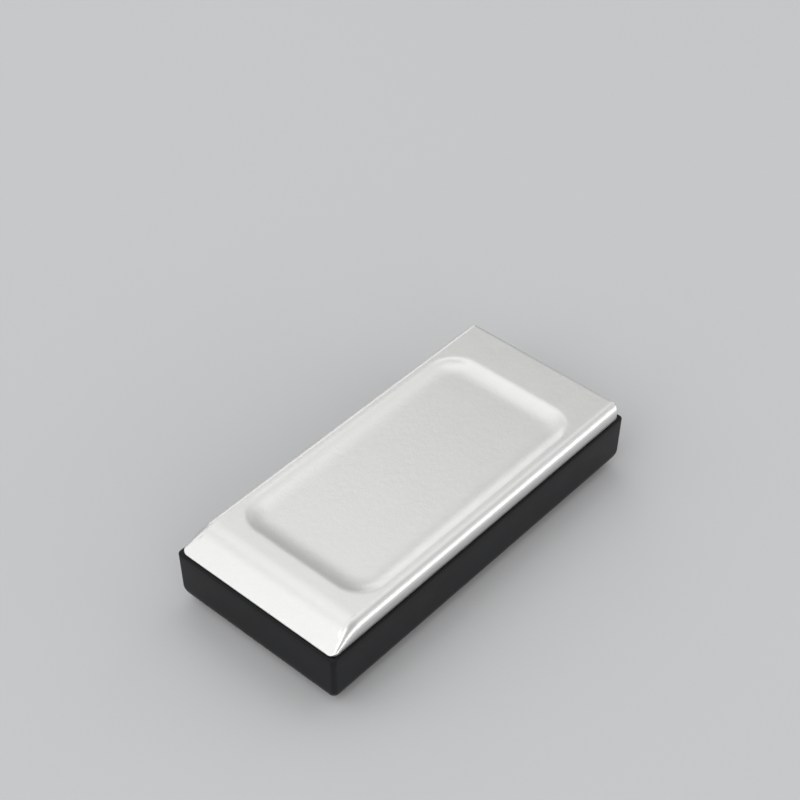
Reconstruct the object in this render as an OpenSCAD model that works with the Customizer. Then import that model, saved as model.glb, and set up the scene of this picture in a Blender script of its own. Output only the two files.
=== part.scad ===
// Portable solid state drive: a slim metal-topped plastic case around one circuit board.
// X runs along the length with the port at +X, Z is up, and the origin is the middle of the underside.

/* [Body] */
// Length of the drive
body_l = 69.5; // [66:0.5:90]
// Width of the drive
body_w = 32.6; // [31:0.2:44]
// Thickness of the drive
body_h = 13.5; // [13.2:0.1:16]

/* [Bottom case] */
// Thickness of the side walls
case_wall = 1.6; // [1.2:0.1:1.8]
// Thickness of the floor
case_floor = 1.2; // [0.8:0.1:2]
// How far each wall leans in from the rim to the underside
case_lean = 0.2; // [0.1:0.05:0.4]
// Radius of the case's plan corners at the rim
rim_corner_r = 0.8; // [0.6:0.1:1.6]
// Radius between the walls and the underside
foot_r = 3.4; // [2.6:0.1:3.6]
// Radius of the plan corners inside the case
cavity_corner_r = 1.6; // [1.6:0.1:2.4]
// Chamfer that keeps the foot's wall thick inside the case
cavity_chamfer = 1.2; // [1:0.1:1.2]
// Chamfer on the outer edge of the rim
rim_chamfer = 0.2; // [0.1:0.05:0.3]
// Diameter of the bosses that carry the board
boss_d = 4.4; // [4:0.1:5]
// Thickness of the ribs that hold the port from below
cradle_rib_t = 1.0; // [0.6:0.1:1.5]
// Distance of each of those ribs from the port's middle
cradle_rib_y = 2.9; // [2:0.1:3.5]

/* [Metal cover] */
// Height of the cover above the seam
cover_h = 3.0; // [2.6:0.1:3.4]
// Thickness of the cover's metal
cover_wall = 0.9; // [0.7:0.05:1.1]
// Width of the black ledge that shows round the cover
ledge_w = 0.5; // [0.3:0.05:0.7]
// Radius of the cover's plan corners
cover_corner_r = 1.2; // [1.2:0.1:1.8]
// Radius of the cover's long top edges and of its top edge over the port
top_fillet_r = 1.0; // [0.6:0.05:1.1]
// Angle of the slope at the end away from the port
slope_angle = 31; // [26:1:36]
// Upright edge left at the foot of the slope
slope_foot_h = 0.2; // [0.2:0.05:0.6]
// Radius of the bend between the top and the slope
bend_r = 6.0; // [4:0.1:7]
// Length of the shallow dish in the top
dish_l = 52.4; // [46:0.2:53]
// Width of the dish
dish_w = 28.2; // [24:0.2:28.6]
// Radius of the dish's plan corners
dish_corner_r = 5.6; // [5:0.1:8]
// How far the dish's middle lies towards the port
dish_shift = 0.6; // [0:0.1:1]
// Depth of the dish
dish_depth = 0.7; // [0.4:0.05:0.8]
// Width of the rounded lip at the dish's edge
dish_lip_w = 1.2; // [0.6:0.1:1.6]
// Width of the sweep from the lip down to the dish's floor
dish_sweep_w = 3.4; // [2:0.1:3.4]
// Length of each locating tab under the cover
tab_l = 5.0; // [3:0.5:7]
// Thickness of the locating tabs
tab_t = 0.8; // [0.6:0.1:1]
// How far the tabs reach down inside the case
tab_drop = 1.2; // [0.8:0.1:1.6]
// Distance between the locating tabs along each side
tab_pitch = 18; // [14:1:19]
// Distance of the two end tabs from the middle
end_tab_y = 9.5; // [8:0.5:10]
// Gap between the tabs and the case
tab_gap = 0.12; // [0.08:0.02:0.2]

/* [Seam tape] */
// Thickness of the bonding tape between cover and case
tape_t = 0.12; // [0.08:0.02:0.2]
// Width of the tape
tape_w = 0.65; // [0.4:0.05:0.7]
// How far the tape stands in from the cover's edge
tape_inset = 0.15; // [0.05:0.05:0.2]

/* [Circuit board] */
// Thickness of the board
board_t = 0.8; // [0.6:0.1:1.2]
// Gap between the board's edge and the case
board_gap = 0.7; // [0.5:0.1:1]
// Radius of the board's corners
board_corner_r = 1.5; // [1:0.1:2.5]
// Distance of the screws from the board's ends, away from the port
near_screw_inset = 3.4; // [3.2:0.1:5]
// Distance of the screws from the board's end over the port
far_screw_inset = 8.6; // [8:0.1:10]
// Distance of the screws from the board's long edges
side_screw_inset = 2.6; // [2.4:0.1:3]

/* [Screws] */
// Thread diameter of the board screws
screw_d = 1.6; // [1.4:0.1:1.8]
// Length of the screws under the head
screw_l = 4.0; // [3.4:0.1:4.2]
// Diameter of the screw heads
head_d = 2.8; // [2.4:0.1:3.2]
// Height of the screw heads
head_h = 0.6; // [0.5:0.05:0.9]
// Length of the cross in the screw heads
cross_l = 1.7; // [1.2:0.1:2]
// Width of the cross's arms
cross_w = 0.4; // [0.3:0.05:0.6]
// Depth of the cross
cross_depth = 0.3; // [0.2:0.05:0.4]
// Gap round a screw in the board
screw_gap = 0.15; // [0.1:0.05:0.25]
// Diameter of the brass inserts
insert_d = 2.6; // [2.4:0.1:3]
// Length of the brass inserts
insert_l = 3.0; // [2.4:0.1:3.4]

/* [Port] */
// Height of the port's middle above the underside
port_z = 5.7; // [5.4:0.1:6]
// Width of the opening inside the port's shell
port_w = 8.34; // [8:0.02:8.6]
// Height of the opening inside the port's shell
port_h = 2.56; // [2.4:0.02:2.7]
// Sheet thickness of the port's shell
port_wall = 0.3; // [0.2:0.02:0.35]
// Length of the port's shell
port_l = 7.3; // [6.8:0.1:8]
// How far the shell's mouth lies behind the face of the case
port_setback = 0.35; // [0.2:0.05:0.6]
// Gap between the shell and the case
port_gap = 0.15; // [0.1:0.05:0.25]
// Width of the shallow recess round the port
port_recess_w = 0.75; // [0.5:0.05:1]
// Depth of that recess
port_recess_depth = 0.3; // [0.2:0.05:0.5]
// Width of the tongue in the port
tongue_w = 6.69; // [6.4:0.01:6.8]
// Thickness of the tongue
tongue_t = 0.7; // [0.6:0.02:0.8]
// How far the tongue's tip lies behind the shell's mouth
tongue_setback = 0.8; // [0.6:0.1:1.2]
// Length of the moulded block at the back of the shell
tongue_block_l = 1.6; // [1.2:0.1:2]
// How far that block stands out behind the shell
tongue_block_out = 0.4; // [0.3:0.1:0.6]
// Thickness of the steel plate in the tongue
mid_plate_t = 0.16; // [0.1:0.02:0.2]
// How far that plate ends behind the tongue's tip
mid_plate_setback = 0.7; // [0.4:0.1:1]
// How far that plate reaches into the moulded block
mid_plate_hold = 0.8; // [0.5:0.1:1.1]
// Distance between neighbouring contacts
contact_pitch = 0.5; // [0.48:0.01:0.52]
// Width of one contact
contact_w = 0.26; // [0.2:0.02:0.3]
// Thickness of one contact
contact_t = 0.08; // [0.06:0.01:0.12]
// Length of one contact on the tongue
contact_l = 3.6; // [3:0.1:4]
// Contacts on each face of the tongue
contact_n = 12; // [12:1:12]
// Length of each of the shell's legs along the port
leg_l = 1.1; // [0.8:0.1:1.4]
// Distance of the first legs from the back of the shell
leg_start = 2.2; // [1.2:0.1:2.4]
// Distance between the two pairs of legs
leg_pitch = 1.7; // [1.6:0.1:2]
// How far the shell's legs stand out of the board
leg_out = 0.5; // [0.3:0.1:0.8]

/* [Status light] */
// Distance of the status light from the port's middle
light_y = 8.6; // [7.5:0.1:9.5]
// Distance of the lamp's middle from the board's end
led_inset = 1.6; // [1.2:0.1:2]
// Diameter of the light guide
guide_d = 1.3; // [1:0.1:1.6]
// Gap between the light guide and the case
guide_gap = 0.05; // [0.03:0.01:0.1]
// Length of the lamp
led_l = 1.6; // [1.2:0.1:2]
// Width of the lamp
led_w = 0.8; // [0.6:0.1:1]
// Height of the lamp
led_h = 0.6; // [0.5:0.05:0.8]

/* [Chips] */
// Length of a flash memory along the drive
memory_l = 12.0; // [10:0.5:12]
// Width of a flash memory across the drive
memory_w = 18.0; // [14:0.5:18]
// Height of the flash memories and of the controller
chip_h = 1.2; // [0.9:0.05:1.3]
// Height of a chip's carrier under its moulded cap
carrier_h = 0.3; // [0.2:0.05:0.4]
// How far a chip's cap stands in from its carrier
cap_inset = 0.1; // [0.05:0.05:0.2]
// Distance between neighbouring chips
chip_gap = 1.6; // [1.2:0.1:1.8]
// Distance of the first flash memory from the board's end
chip_start = 8.2; // [8:0.1:9]
// Side of the square flash controller
controller_l = 11.0; // [9:0.5:11]
// Diameter of the corner mark on a chip
pin_mark_d = 0.8; // [0.5:0.1:1]
// Depth of the corner mark
pin_mark_depth = 0.06; // [0.04:0.01:0.1]

/* [Power and small parts] */
// Side of the power converter
converter_l = 4.0; // [3:0.5:4]
// Height of the power converter
converter_h = 0.9; // [0.7:0.05:1]
// Side of an inductor
inductor_l = 4.0; // [3:0.1:4.2]
// Height of an inductor
inductor_h = 1.9; // [1.2:0.1:2]
// Bevel of an inductor's upright edges
inductor_bevel = 0.5; // [0.3:0.1:0.8]
// Length of a tantalum capacitor
tantalum_l = 3.5; // [3:0.1:3.6]
// Width of a tantalum capacitor
tantalum_w = 2.8; // [2:0.1:2.8]
// Height of a tantalum capacitor
tantalum_h = 1.9; // [1.5:0.1:2]
// Length of the clock crystal's can
crystal_l = 3.2; // [2.5:0.1:3.2]
// Width of the clock crystal's can
crystal_w = 2.5; // [2:0.1:2.5]
// Height of the clock crystal's can
crystal_h = 0.8; // [0.6:0.05:0.9]
// Length of the start-up memory
boot_l = 5.0; // [4:0.5:5]
// Width of the start-up memory
boot_w = 6.0; // [5:0.5:6]
// Height of the start-up memory
boot_h = 0.8; // [0.6:0.05:0.9]
// Length of the voltage regulator's body
regulator_l = 2.9; // [2.6:0.1:3]
// Width of the voltage regulator's body
regulator_w = 1.6; // [1.4:0.1:1.7]
// Height of the voltage regulator's body
regulator_h = 1.1; // [0.9:0.05:1.2]
// Length of a small ceramic part
small_l = 1.0; // [0.8:0.1:1.2]
// Width of a small ceramic part
small_w = 0.5; // [0.4:0.05:0.6]
// Height of a ceramic capacitor
capacitor_h = 0.5; // [0.4:0.05:0.6]
// Height of a resistor
resistor_h = 0.35; // [0.3:0.05:0.4]
// Distance between neighbouring small parts
small_pitch = 1.5; // [1.3:0.1:1.6]
// Small parts in each row
small_n = 5; // [3:1:6]
// Distance of the crystal and the regulator from the middle line
side_part_y = 6.0; // [5.5:0.1:7]
// Distance of the crystal and the regulator from the controller's middle
side_part_x = 2.8; // [2:0.1:3.4]
// Length of a surge protector
protector_l = 1.6; // [1.4:0.1:2]
// Width of a surge protector
protector_w = 1.0; // [0.8:0.1:1.2]
// Height of a surge protector
protector_h = 0.55; // [0.4:0.05:0.6]

/* [Thermal pad] */
// How far the pad stands in from the chips' outer edges
pad_inset = 0.5; // [0:0.1:1]
// How far the cover's pedestal comes down under the dish. The pad fills what is left above the chips
pedestal_h = 1.1; // [0.6:0.1:1.1]
// How far the cover's pedestal stands out past the pad
pedestal_margin = 1.0; // [0.5:0.1:1.5]
// Radius of the pedestal's corners
pedestal_corner_r = 2.0; // [1:0.1:3]

/* [Hidden] */
$fn = 48;
cut = 1;
function hundredth(x) = round(100 * x) / 100;
seam_z = body_h - cover_h;
rim_z = seam_z - tape_t;
wide_z = rim_z - rim_chamfer;
lean_angle = atan(case_lean / wide_z);
corner_step = 0.02;
cavity_l = body_l - 2 * case_wall;
cavity_w = body_w - 2 * case_wall;

cover_l = body_l - 2 * ledge_w;
cover_w = body_w - 2 * ledge_w;
slope_run = (cover_h - slope_foot_h) / tan(slope_angle);
bend_x = hundredth(slope_run + bend_r * tan(slope_angle / 2) - cover_l / 2);
bend_z = body_h - bend_r;
bend_step = 0.005;
bend_overlap = 3;
inner_edge_r = 0.3;
dish_wall_w = dish_lip_w + dish_sweep_w;
dish_wall_angle = 2 * atan(dish_depth / dish_wall_w);
dish_lip_r = dish_lip_w / sin(dish_wall_angle);
dish_sweep_r = dish_sweep_w / sin(dish_wall_angle);
dish_lip_drop = dish_lip_r * (1 - cos(dish_wall_angle));
ceiling_z = body_h - dish_depth - cover_wall;

shell_w = port_w + 2 * port_wall;
shell_h = port_h + 2 * port_wall;
face_x = body_l / 2 - (wide_z - port_z) * tan(lean_angle);
mouth_x = face_x - port_setback;
shell_back_x = mouth_x - port_l;
tip_x = mouth_x - tongue_setback;
block_x = shell_back_x + tongue_block_l;
block_back_x = shell_back_x - tongue_block_out;
recess_x = face_x - port_recess_depth;

board_z = port_z + shell_h / 2;
board_top = board_z + board_t;
board_lean = (wide_z - board_z) * tan(lean_angle);
board_l = cavity_l - 2 * board_lean - 2 * board_gap;
board_w = cavity_w - 2 * board_lean - 2 * board_gap;
near_screw_x = -board_l / 2 + near_screw_inset;
far_screw_x = board_l / 2 - far_screw_inset;
screw_y = board_w / 2 - side_screw_inset;
screw_places = [for (x = [near_screw_x, far_screw_x], s = [-1, 1]) [x, s * screw_y]];
leg_xs = [shell_back_x + leg_start, shell_back_x + leg_start + leg_pitch];

memory_1_x = -board_l / 2 + chip_start + memory_l / 2;
memory_2_x = memory_1_x + memory_l + chip_gap;
controller_x = memory_2_x + (memory_l + controller_l) / 2 + chip_gap;
chip_top = board_top + chip_h;
pad_start_x = memory_1_x - memory_l / 2 + pad_inset;
pad_end_x = controller_x + controller_l / 2 - pad_inset;
pad_l = pad_end_x - pad_start_x;
pad_x = (pad_start_x + pad_end_x) / 2;
pad_w = memory_w - 2 * pad_inset;
pad_top = ceiling_z - pedestal_h;
power_x = controller_x + controller_l / 2 + chip_gap + inductor_l / 2;
capacitor_row_y = controller_l / 2 + chip_gap;
resistor_row_y = capacitor_row_y + small_pitch;
outer_row_y = memory_w / 2 + chip_gap;
led_x = board_l / 2 - led_inset;
guide_end_x = face_x - guide_gap;

// Solid with a rounded plan of l by w. Its edge is the child, drawn from the corner's centre outwards.
// The corners' centres lie on a grid of a hundredth, so that the straight stretches meet them exactly.
module edge_swept(l, w, r, z0, z1) {
    cx = hundredth(l / 2 - r);
    cy = hundredth(w / 2 - r);
    for (k = [0 : 3]) {
        sx = (k == 0 || k == 3) ? 1 : -1;
        sy = k < 2 ? 1 : -1;
        translate([sx * cx, sy * cy, 0])
            rotate([0, 0, 90 * k])
                rotate_extrude(angle = 90)
                    children();
    }
    for (s = [0, 180]) {
        rotate([0, 0, s])
            translate([cx, cy, 0])
                rotate([90, 0, 0])
                    linear_extrude(2 * cy)
                        children();
        rotate([0, 0, s])
            translate([-cx, cy, 0])
                rotate([90, 0, 90])
                    linear_extrude(2 * cx)
                        children();
    }
    translate([-cx, -cy, z0])
        cube([2 * cx, 2 * cy, z1 - z0]);
}

// Plain plate with rounded plan corners.
module rounded_plate(l, w, r, z0, z1) {
    edge_swept(l, w, r, z0, z1)
        translate([0, z0])
            square([r, z1 - z0]);
}

// Flat-sided oval, as wide as w and as high as h, drawn round the origin.
module oval(w, h) {
    square([w - h, h], center = true);
    for (s = [-1, 1])
        translate([s * (w - h) / 2, 0])
            circle(d = h);
}

// The same oval as a bar along X, round the port's middle.
module oval_bar(w, h, x0, x1) {
    translate([x0, 0, port_z])
        rotate([90, 0, 90])
            linear_extrude(x1 - x0)
                oval(w, h);
}

// Box given by its middle in plan, its size in plan and its two heights.
module block(x, y, l, w, z0, z1) {
    translate([x - l / 2, y - w / 2, z0])
        cube([l, w, z1 - z0]);
}

// Section of the case's outer form that is w wide at the rim, with its rounded feet.
module case_section(w) {
    foot_x = w / 2 - case_lean + foot_r * tan(lean_angle) - foot_r / cos(lean_angle);
    foot_end_x = foot_x + foot_r * cos(lean_angle);
    foot_end_z = foot_r - foot_r * sin(lean_angle);
    for (s = [-1, 1])
        translate([s * foot_x, foot_r])
            intersection() {
                circle(r = foot_r);
                translate([s < 0 ? -foot_r : 0, -foot_r])
                    square(foot_r);
            }
    polygon([
        [-foot_x, 0],
        [foot_x, 0],
        [foot_end_x, foot_end_z],
        [w / 2, wide_z],
        [w / 2 - rim_chamfer, rim_z],
        [rim_chamfer - w / 2, rim_z],
        [-w / 2, wide_z],
        [-foot_end_x, foot_end_z]
    ]);
}

// Half section of the block that rounds the case's plan corners. It clears the walls by corner_step.
module corner_edge() {
    polygon([
        [0, -cut],
        [rim_corner_r - (wide_z + cut) * tan(lean_angle), -cut],
        [rim_corner_r + (rim_chamfer + cut) * tan(lean_angle), rim_z + cut],
        [0, rim_z + cut]
    ]);
}

// The case's outer form: where the forms along it and across it meet, with rounded plan corners.
module case_form() {
    intersection() {
        translate([0, body_w, 0])
            rotate([90, 0, 0])
                linear_extrude(2 * body_w)
                    case_section(body_l);
        translate([-body_l, 0, 0])
            rotate([90, 0, 90])
                linear_extrude(2 * body_l)
                    case_section(body_w);
        edge_swept(body_l + 2 * corner_step, body_w + 2 * corner_step, rim_corner_r, -cut, rim_z + cut)
            corner_edge();
    }
}

// Half section of the space inside the case.
module cavity_edge() {
    floor_u = cavity_corner_r - (wide_z - case_floor) * tan(lean_angle);
    polygon([
        [0, case_floor],
        [floor_u - cavity_chamfer, case_floor],
        [floor_u, case_floor + cavity_chamfer],
        [cavity_corner_r + (rim_chamfer + cut) * tan(lean_angle), rim_z + cut],
        [0, rim_z + cut]
    ]);
}

// Two ribs along the port and one across them, which carry the shell.
module port_cradle() {
    z1 = port_z - shell_h / 2;
    x1 = recess_x - case_wall / 2;
    for (s = [-1, 1])
        block((block_x + x1) / 2, s * cradle_rib_y, x1 - block_x, cradle_rib_t, case_floor, z1);
    block(block_x + cradle_rib_t / 2, 0, cradle_rib_t, 2 * cradle_rib_y + cradle_rib_t, case_floor, z1);
}

module bottom_case() {
    color([0.07, 0.07, 0.08])
    difference() {
        union() {
            difference() {
                case_form();
                edge_swept(cavity_l, cavity_w, cavity_corner_r, case_floor, rim_z + cut)
                    cavity_edge();
            }
            for (p = screw_places)
                translate([p[0], p[1], case_floor])
                    cylinder(d = boss_d, h = board_z - case_floor);
            port_cradle();
        }
        for (p = screw_places) {
            translate([p[0], p[1], board_z - insert_l])
                cylinder(d = insert_d, h = insert_l + cut);
            translate([p[0], p[1], board_z - screw_l])
                cylinder(d = screw_d + 2 * screw_gap, h = screw_l);
        }
        oval_bar(shell_w + 2 * port_gap, shell_h + 2 * port_gap, recess_x - case_wall, body_l / 2 + cut);
        oval_bar(shell_w + 2 * port_recess_w, shell_h + 2 * port_recess_w, recess_x, body_l / 2 + cut);
        translate([recess_x - case_wall, light_y, port_z])
            rotate([0, 90, 0])
                cylinder(d = guide_d + 2 * guide_gap, h = 2 * case_wall + cut);
    }
}

// Cross section of the cover with rounded upper edges. Y of the drawing is the height over the bend.
module cover_section(w, r, y0, y1) {
    translate([-w / 2, y0])
        square([w, y1 - r - y0]);
    translate([-(w / 2 - r), y1 - r])
        square([w - 2 * r, r]);
    for (s = [-1, 1])
        translate([s * (w / 2 - r), y1 - r])
            intersection() {
                circle(r = r);
                translate([s < 0 ? -r : 0, 0])
                    square(r);
            }
}

// Flat part of the cover's form with its rounded top edge, up to the bend.
module cover_flat(l, w, corner_r, fillet_r, z0, z1) {
    difference() {
        edge_swept(l, w, corner_r, z0, z1) {
            translate([0, z0])
                square([corner_r, z1 - fillet_r - z0]);
            translate([0, z1 - fillet_r])
                square([corner_r - fillet_r, fillet_r]);
            translate([corner_r - fillet_r, z1 - fillet_r])
                intersection() {
                    circle(r = fillet_r);
                    square(fillet_r);
                }
        }
        translate([bend_x - l, -w, z0 - cut])
            cube([l, 2 * w, z1 - z0 + 2 * cut]);
    }
}

// The cover's outer form, or with an inset the form of the space inside it.
// The bend runs a hair inside its neighbours and into them, so that the three overlap.
module cover_form(inset, z0) {
    l = cover_l - 2 * inset;
    w = cover_w - 2 * inset;
    corner_r = max(cover_corner_r - inset, 2 * inner_edge_r);
    fillet_r = max(top_fillet_r - inset, inner_edge_r);
    z1 = body_h - inset;
    reach = bend_r - inset;
    cover_flat(l, w, corner_r, fillet_r, z0, z1);
    difference() {
        union() {
            translate([bend_x, 0, bend_z])
                rotate([90, 0, 0])
                    rotate([0, 0, 90 - bend_overlap])
                        rotate_extrude(angle = slope_angle + 2 * bend_overlap)
                            rotate([0, 0, -90])
                                cover_section(w - 2 * bend_step, fillet_r, 0, reach - bend_step);
            translate([bend_x, 0, bend_z])
                rotate([0, -slope_angle, 0])
                    translate([-l, 0, 0])
                        rotate([90, 0, 90])
                            linear_extrude(l)
                                cover_section(w, fillet_r, -l, reach);
        }
        translate([-l - cover_l, -w, z0 - 2 * l])
            cube([2 * l + cover_l, 2 * w, 2 * l]);
        translate([-l / 2 - l, -w, z0 - cut])
            cube([l, 2 * w, body_h]);
        for (s = [-1, 1])
            translate([-(l / 2 - corner_r), s * (w / 2 - corner_r), z0 - cut])
                difference() {
                    translate([-corner_r - cut, s < 0 ? -corner_r - cut : 0, 0])
                        cube([corner_r + cut, corner_r + cut, body_h]);
                    translate([0, 0, -cut])
                        cylinder(r = corner_r, h = body_h + 2 * cut);
                }
        translate([bend_x + cut, -w, z0 - cut])
            cube([l, 2 * w, body_h]);
    }
}

// Half section of the dish: a rounded lip that turns over into a long sweep down to the flat floor.
module dish_edge() {
    floor_u = dish_corner_r - dish_wall_w;
    lip_u = dish_corner_r - dish_lip_w;
    translate([0, -dish_depth])
        square([floor_u, dish_depth + cut]);
    intersection() {
        translate([floor_u, dish_sweep_r - dish_depth])
            circle(r = dish_sweep_r, $fn = 180);
        translate([floor_u, -dish_depth])
            square([dish_sweep_w, dish_depth + cut]);
    }
    difference() {
        translate([lip_u, -dish_lip_drop])
            square([dish_lip_w, dish_lip_drop + cut]);
        translate([dish_corner_r, -dish_lip_r])
            circle(r = dish_lip_r, $fn = 180);
    }
}

module dish() {
    translate([dish_shift, 0, body_h])
        edge_swept(dish_l, dish_w, dish_corner_r, -dish_depth, cut)
            dish_edge();
}

// One locating tab, with +Y pointing at the wall that it lies against.
module locating_tab(tab_y, root_y) {
    block(0, tab_y - tab_t / 2, tab_l, tab_t, seam_z - tab_drop, seam_z + tab_t);
    block(0, (tab_y - tab_t + root_y) / 2, tab_l, root_y - tab_y + tab_t, seam_z, seam_z + tab_t);
}

// Tabs along both sides and at both ends. The slope's metal already meets those at its end.
module locating_tabs() {
    wall_inset = (wide_z - seam_z + tab_drop) * tan(lean_angle) + tab_gap;
    side_y = cavity_w / 2 - wall_inset;
    end_y = cavity_l / 2 - wall_inset;
    for (a = [0, 180], x = [-tab_pitch, 0, tab_pitch])
        rotate([0, 0, a])
            translate([x, 0, 0])
                locating_tab(side_y, (cover_w - cover_wall) / 2);
    for (s = [-1, 1])
        rotate([0, 0, -90])
            translate([s * end_tab_y, 0, 0])
                locating_tab(end_y, (cover_l - cover_wall) / 2);
    for (s = [-1, 1])
        rotate([0, 0, 90])
            translate([s * end_tab_y, 0, 0])
                locating_tab(end_y, end_y);
}

module top_cover() {
    color([0.82, 0.83, 0.82]) {
        difference() {
            cover_form(0, seam_z);
            dish();
            difference() {
                cover_form(cover_wall, seam_z - cut);
                translate([0, 0, -cover_wall])
                    dish();
                translate([pad_x, 0, 0])
                    rounded_plate(pad_l + 2 * pedestal_margin, pad_w + 2 * pedestal_margin,
                        pedestal_corner_r, pad_top, body_h + cut);
            }
        }
        locating_tabs();
    }
}

module seam_tape() {
    l = cover_l - 2 * tape_inset;
    w = cover_w - 2 * tape_inset;
    corner_r = cover_corner_r - tape_inset;
    color([0.04, 0.04, 0.04])
    difference() {
        rounded_plate(l, w, corner_r, rim_z, seam_z);
        rounded_plate(l - 2 * tape_w, w - 2 * tape_w, corner_r - tape_w, rim_z - cut, seam_z + cut);
    }
}

module circuit_board() {
    color([0.05, 0.25, 0.16])
    difference() {
        rounded_plate(board_l, board_w, board_corner_r, board_z, board_top);
        for (p = screw_places)
            translate([p[0], p[1], board_z - cut])
                cylinder(d = screw_d + 2 * screw_gap, h = board_t + 2 * cut);
        for (x = leg_xs, s = [-1, 1])
            block(x, s * (shell_w / 2 - port_wall / 2), leg_l + 2 * port_gap, port_wall + 2 * port_gap,
                board_z - cut, board_top + cut);
    }
}

module port_shell() {
    color([0.75, 0.75, 0.76])
    difference() {
        union() {
            oval_bar(shell_w, shell_h, shell_back_x, mouth_x);
            for (x = leg_xs, s = [-1, 1])
                block(x, s * (shell_w / 2 - port_wall / 2), leg_l, port_wall, port_z, board_top + leg_out);
        }
        oval_bar(port_w, port_h, shell_back_x - cut, mouth_x + cut);
    }
}

// Bar as wide as the tongue, round the port's middle.
module tongue_bar(x0, x1, t) {
    block((x0 + x1) / 2, 0, x1 - x0, tongue_w, port_z - t / 2, port_z + t / 2);
}

module mid_plate_bar() {
    tongue_bar(block_x - mid_plate_hold, tip_x - mid_plate_setback, mid_plate_t);
}

module port_tongue() {
    color([0.06, 0.06, 0.06])
    difference() {
        union() {
            oval_bar(port_w, port_h, block_back_x, block_x);
            tongue_bar(block_x, tip_x, tongue_t);
        }
        mid_plate_bar();
    }
}

module port_mid_plate() {
    color([0.7, 0.7, 0.7])
        mid_plate_bar();
}

module port_contacts() {
    color([0.83, 0.68, 0.32])
    for (k = [0 : contact_n - 1]) {
        y = (k - (contact_n - 1) / 2) * contact_pitch;
        face = port_z + tongue_t / 2;
        for (z0 = [face, 2 * port_z - face - contact_t])
            block(block_x + contact_l / 2, y, contact_l, contact_w, z0, z0 + contact_t);
        block(block_back_x - contact_w / 2, y, contact_w, contact_w, port_z, board_z);
    }
}

// Moulded chip on its carrier, standing up from z = 0, with a small corner mark in its cap.
module chip(l, w, h) {
    mark = cap_inset + pin_mark_d;
    block(0, 0, l, w, 0, carrier_h);
    difference() {
        block(0, 0, l - 2 * cap_inset, w - 2 * cap_inset, carrier_h, h);
        translate([-l / 2 + mark, -w / 2 + mark, h - pin_mark_depth])
            cylinder(d = pin_mark_d, h = pin_mark_depth + cut);
    }
}

module on_top(x, y) {
    translate([x, y, board_top])
        children();
}

module under_board(x, y) {
    translate([x, y, board_z])
        rotate([180, 0, 0])
            children();
}

module flash_controller() {
    color([0.1, 0.1, 0.11])
        on_top(controller_x, 0)
            chip(controller_l, controller_l, chip_h);
}

module flash_memory_1() {
    color([0.11, 0.11, 0.12])
        on_top(memory_1_x, 0)
            chip(memory_l, memory_w, chip_h);
}

module flash_memory_2() {
    color([0.11, 0.11, 0.12])
        on_top(memory_2_x, 0)
            chip(memory_l, memory_w, chip_h);
}

module flash_memory_3() {
    color([0.11, 0.11, 0.12])
        under_board(memory_1_x, 0)
            chip(memory_l, memory_w, chip_h);
}

module flash_memory_4() {
    color([0.11, 0.11, 0.12])
        under_board(memory_2_x, 0)
            chip(memory_l, memory_w, chip_h);
}

module power_converter() {
    color([0.12, 0.12, 0.13])
        on_top(power_x, 0)
            chip(converter_l, converter_l, converter_h);
}

// Square inductor: a wound core in a pressed body with cut corners.
module inductor() {
    bevel = inductor_bevel;
    half = inductor_l / 2;
    linear_extrude(inductor_h)
        polygon([
            [half, half - bevel], [half - bevel, half], [bevel - half, half], [-half, half - bevel],
            [-half, bevel - half], [bevel - half, -half], [half - bevel, -half], [half, bevel - half]
        ]);
}

module power_inductor_1() {
    color([0.25, 0.25, 0.26])
        on_top(power_x, (converter_l + inductor_l) / 2 + chip_gap / 2)
            inductor();
}

module power_inductor_2() {
    color([0.25, 0.25, 0.26])
        on_top(power_x, -(converter_l + inductor_l) / 2 - chip_gap / 2)
            inductor();
}

module tantalum_capacitors() {
    x = power_x + inductor_l / 2 + chip_gap / 2 + tantalum_w / 2;
    color([0.78, 0.6, 0.2])
    for (y = [-1, 0, 1])
        on_top(x, y * (tantalum_l + chip_gap / 2))
            block(0, 0, tantalum_w, tantalum_l, 0, tantalum_h);
}

module voltage_regulator() {
    color([0.12, 0.12, 0.13])
        under_board(controller_x + side_part_x, -side_part_y)
            block(0, 0, regulator_l, regulator_w, 0, regulator_h);
}

module clock_crystal() {
    color([0.72, 0.72, 0.74])
        under_board(controller_x - side_part_x, side_part_y)
            block(0, 0, crystal_l, crystal_w, 0, crystal_h);
}

module boot_memory() {
    color([0.1, 0.1, 0.11])
        under_board(controller_x, 0)
            chip(boot_l, boot_w, boot_h);
}

module surge_protectors() {
    x = shell_back_x - chip_gap - protector_l / 2;
    color([0.14, 0.14, 0.15])
    for (k = [-1, 0, 1])
        under_board(x, k * (protector_w + chip_gap))
            block(0, 0, protector_l, protector_w, 0, protector_h);
}

// Where the small parts of a row stand along the drive, beside the controller.
small_xs = [for (k = [0 : small_n - 1]) controller_x + (k - (small_n - 1) / 2) * small_pitch];

module ceramic_capacitors() {
    color([0.62, 0.5, 0.36])
    for (s = [-1, 1], x = small_xs) {
        on_top(x, s * capacitor_row_y)
            block(0, 0, small_w, small_l, 0, capacitor_h);
        under_board(x, s * outer_row_y)
            block(0, 0, small_w, small_l, 0, capacitor_h);
    }
}

module chip_resistors() {
    color([0.08, 0.08, 0.09])
    for (s = [-1, 1], x = small_xs)
        on_top(x, s * resistor_row_y)
            block(0, 0, small_w, small_l, 0, resistor_h);
}

module status_led() {
    color([0.9, 0.92, 0.95])
        under_board(led_x, light_y)
            block(0, 0, led_l, led_w, 0, led_h);
}

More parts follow.
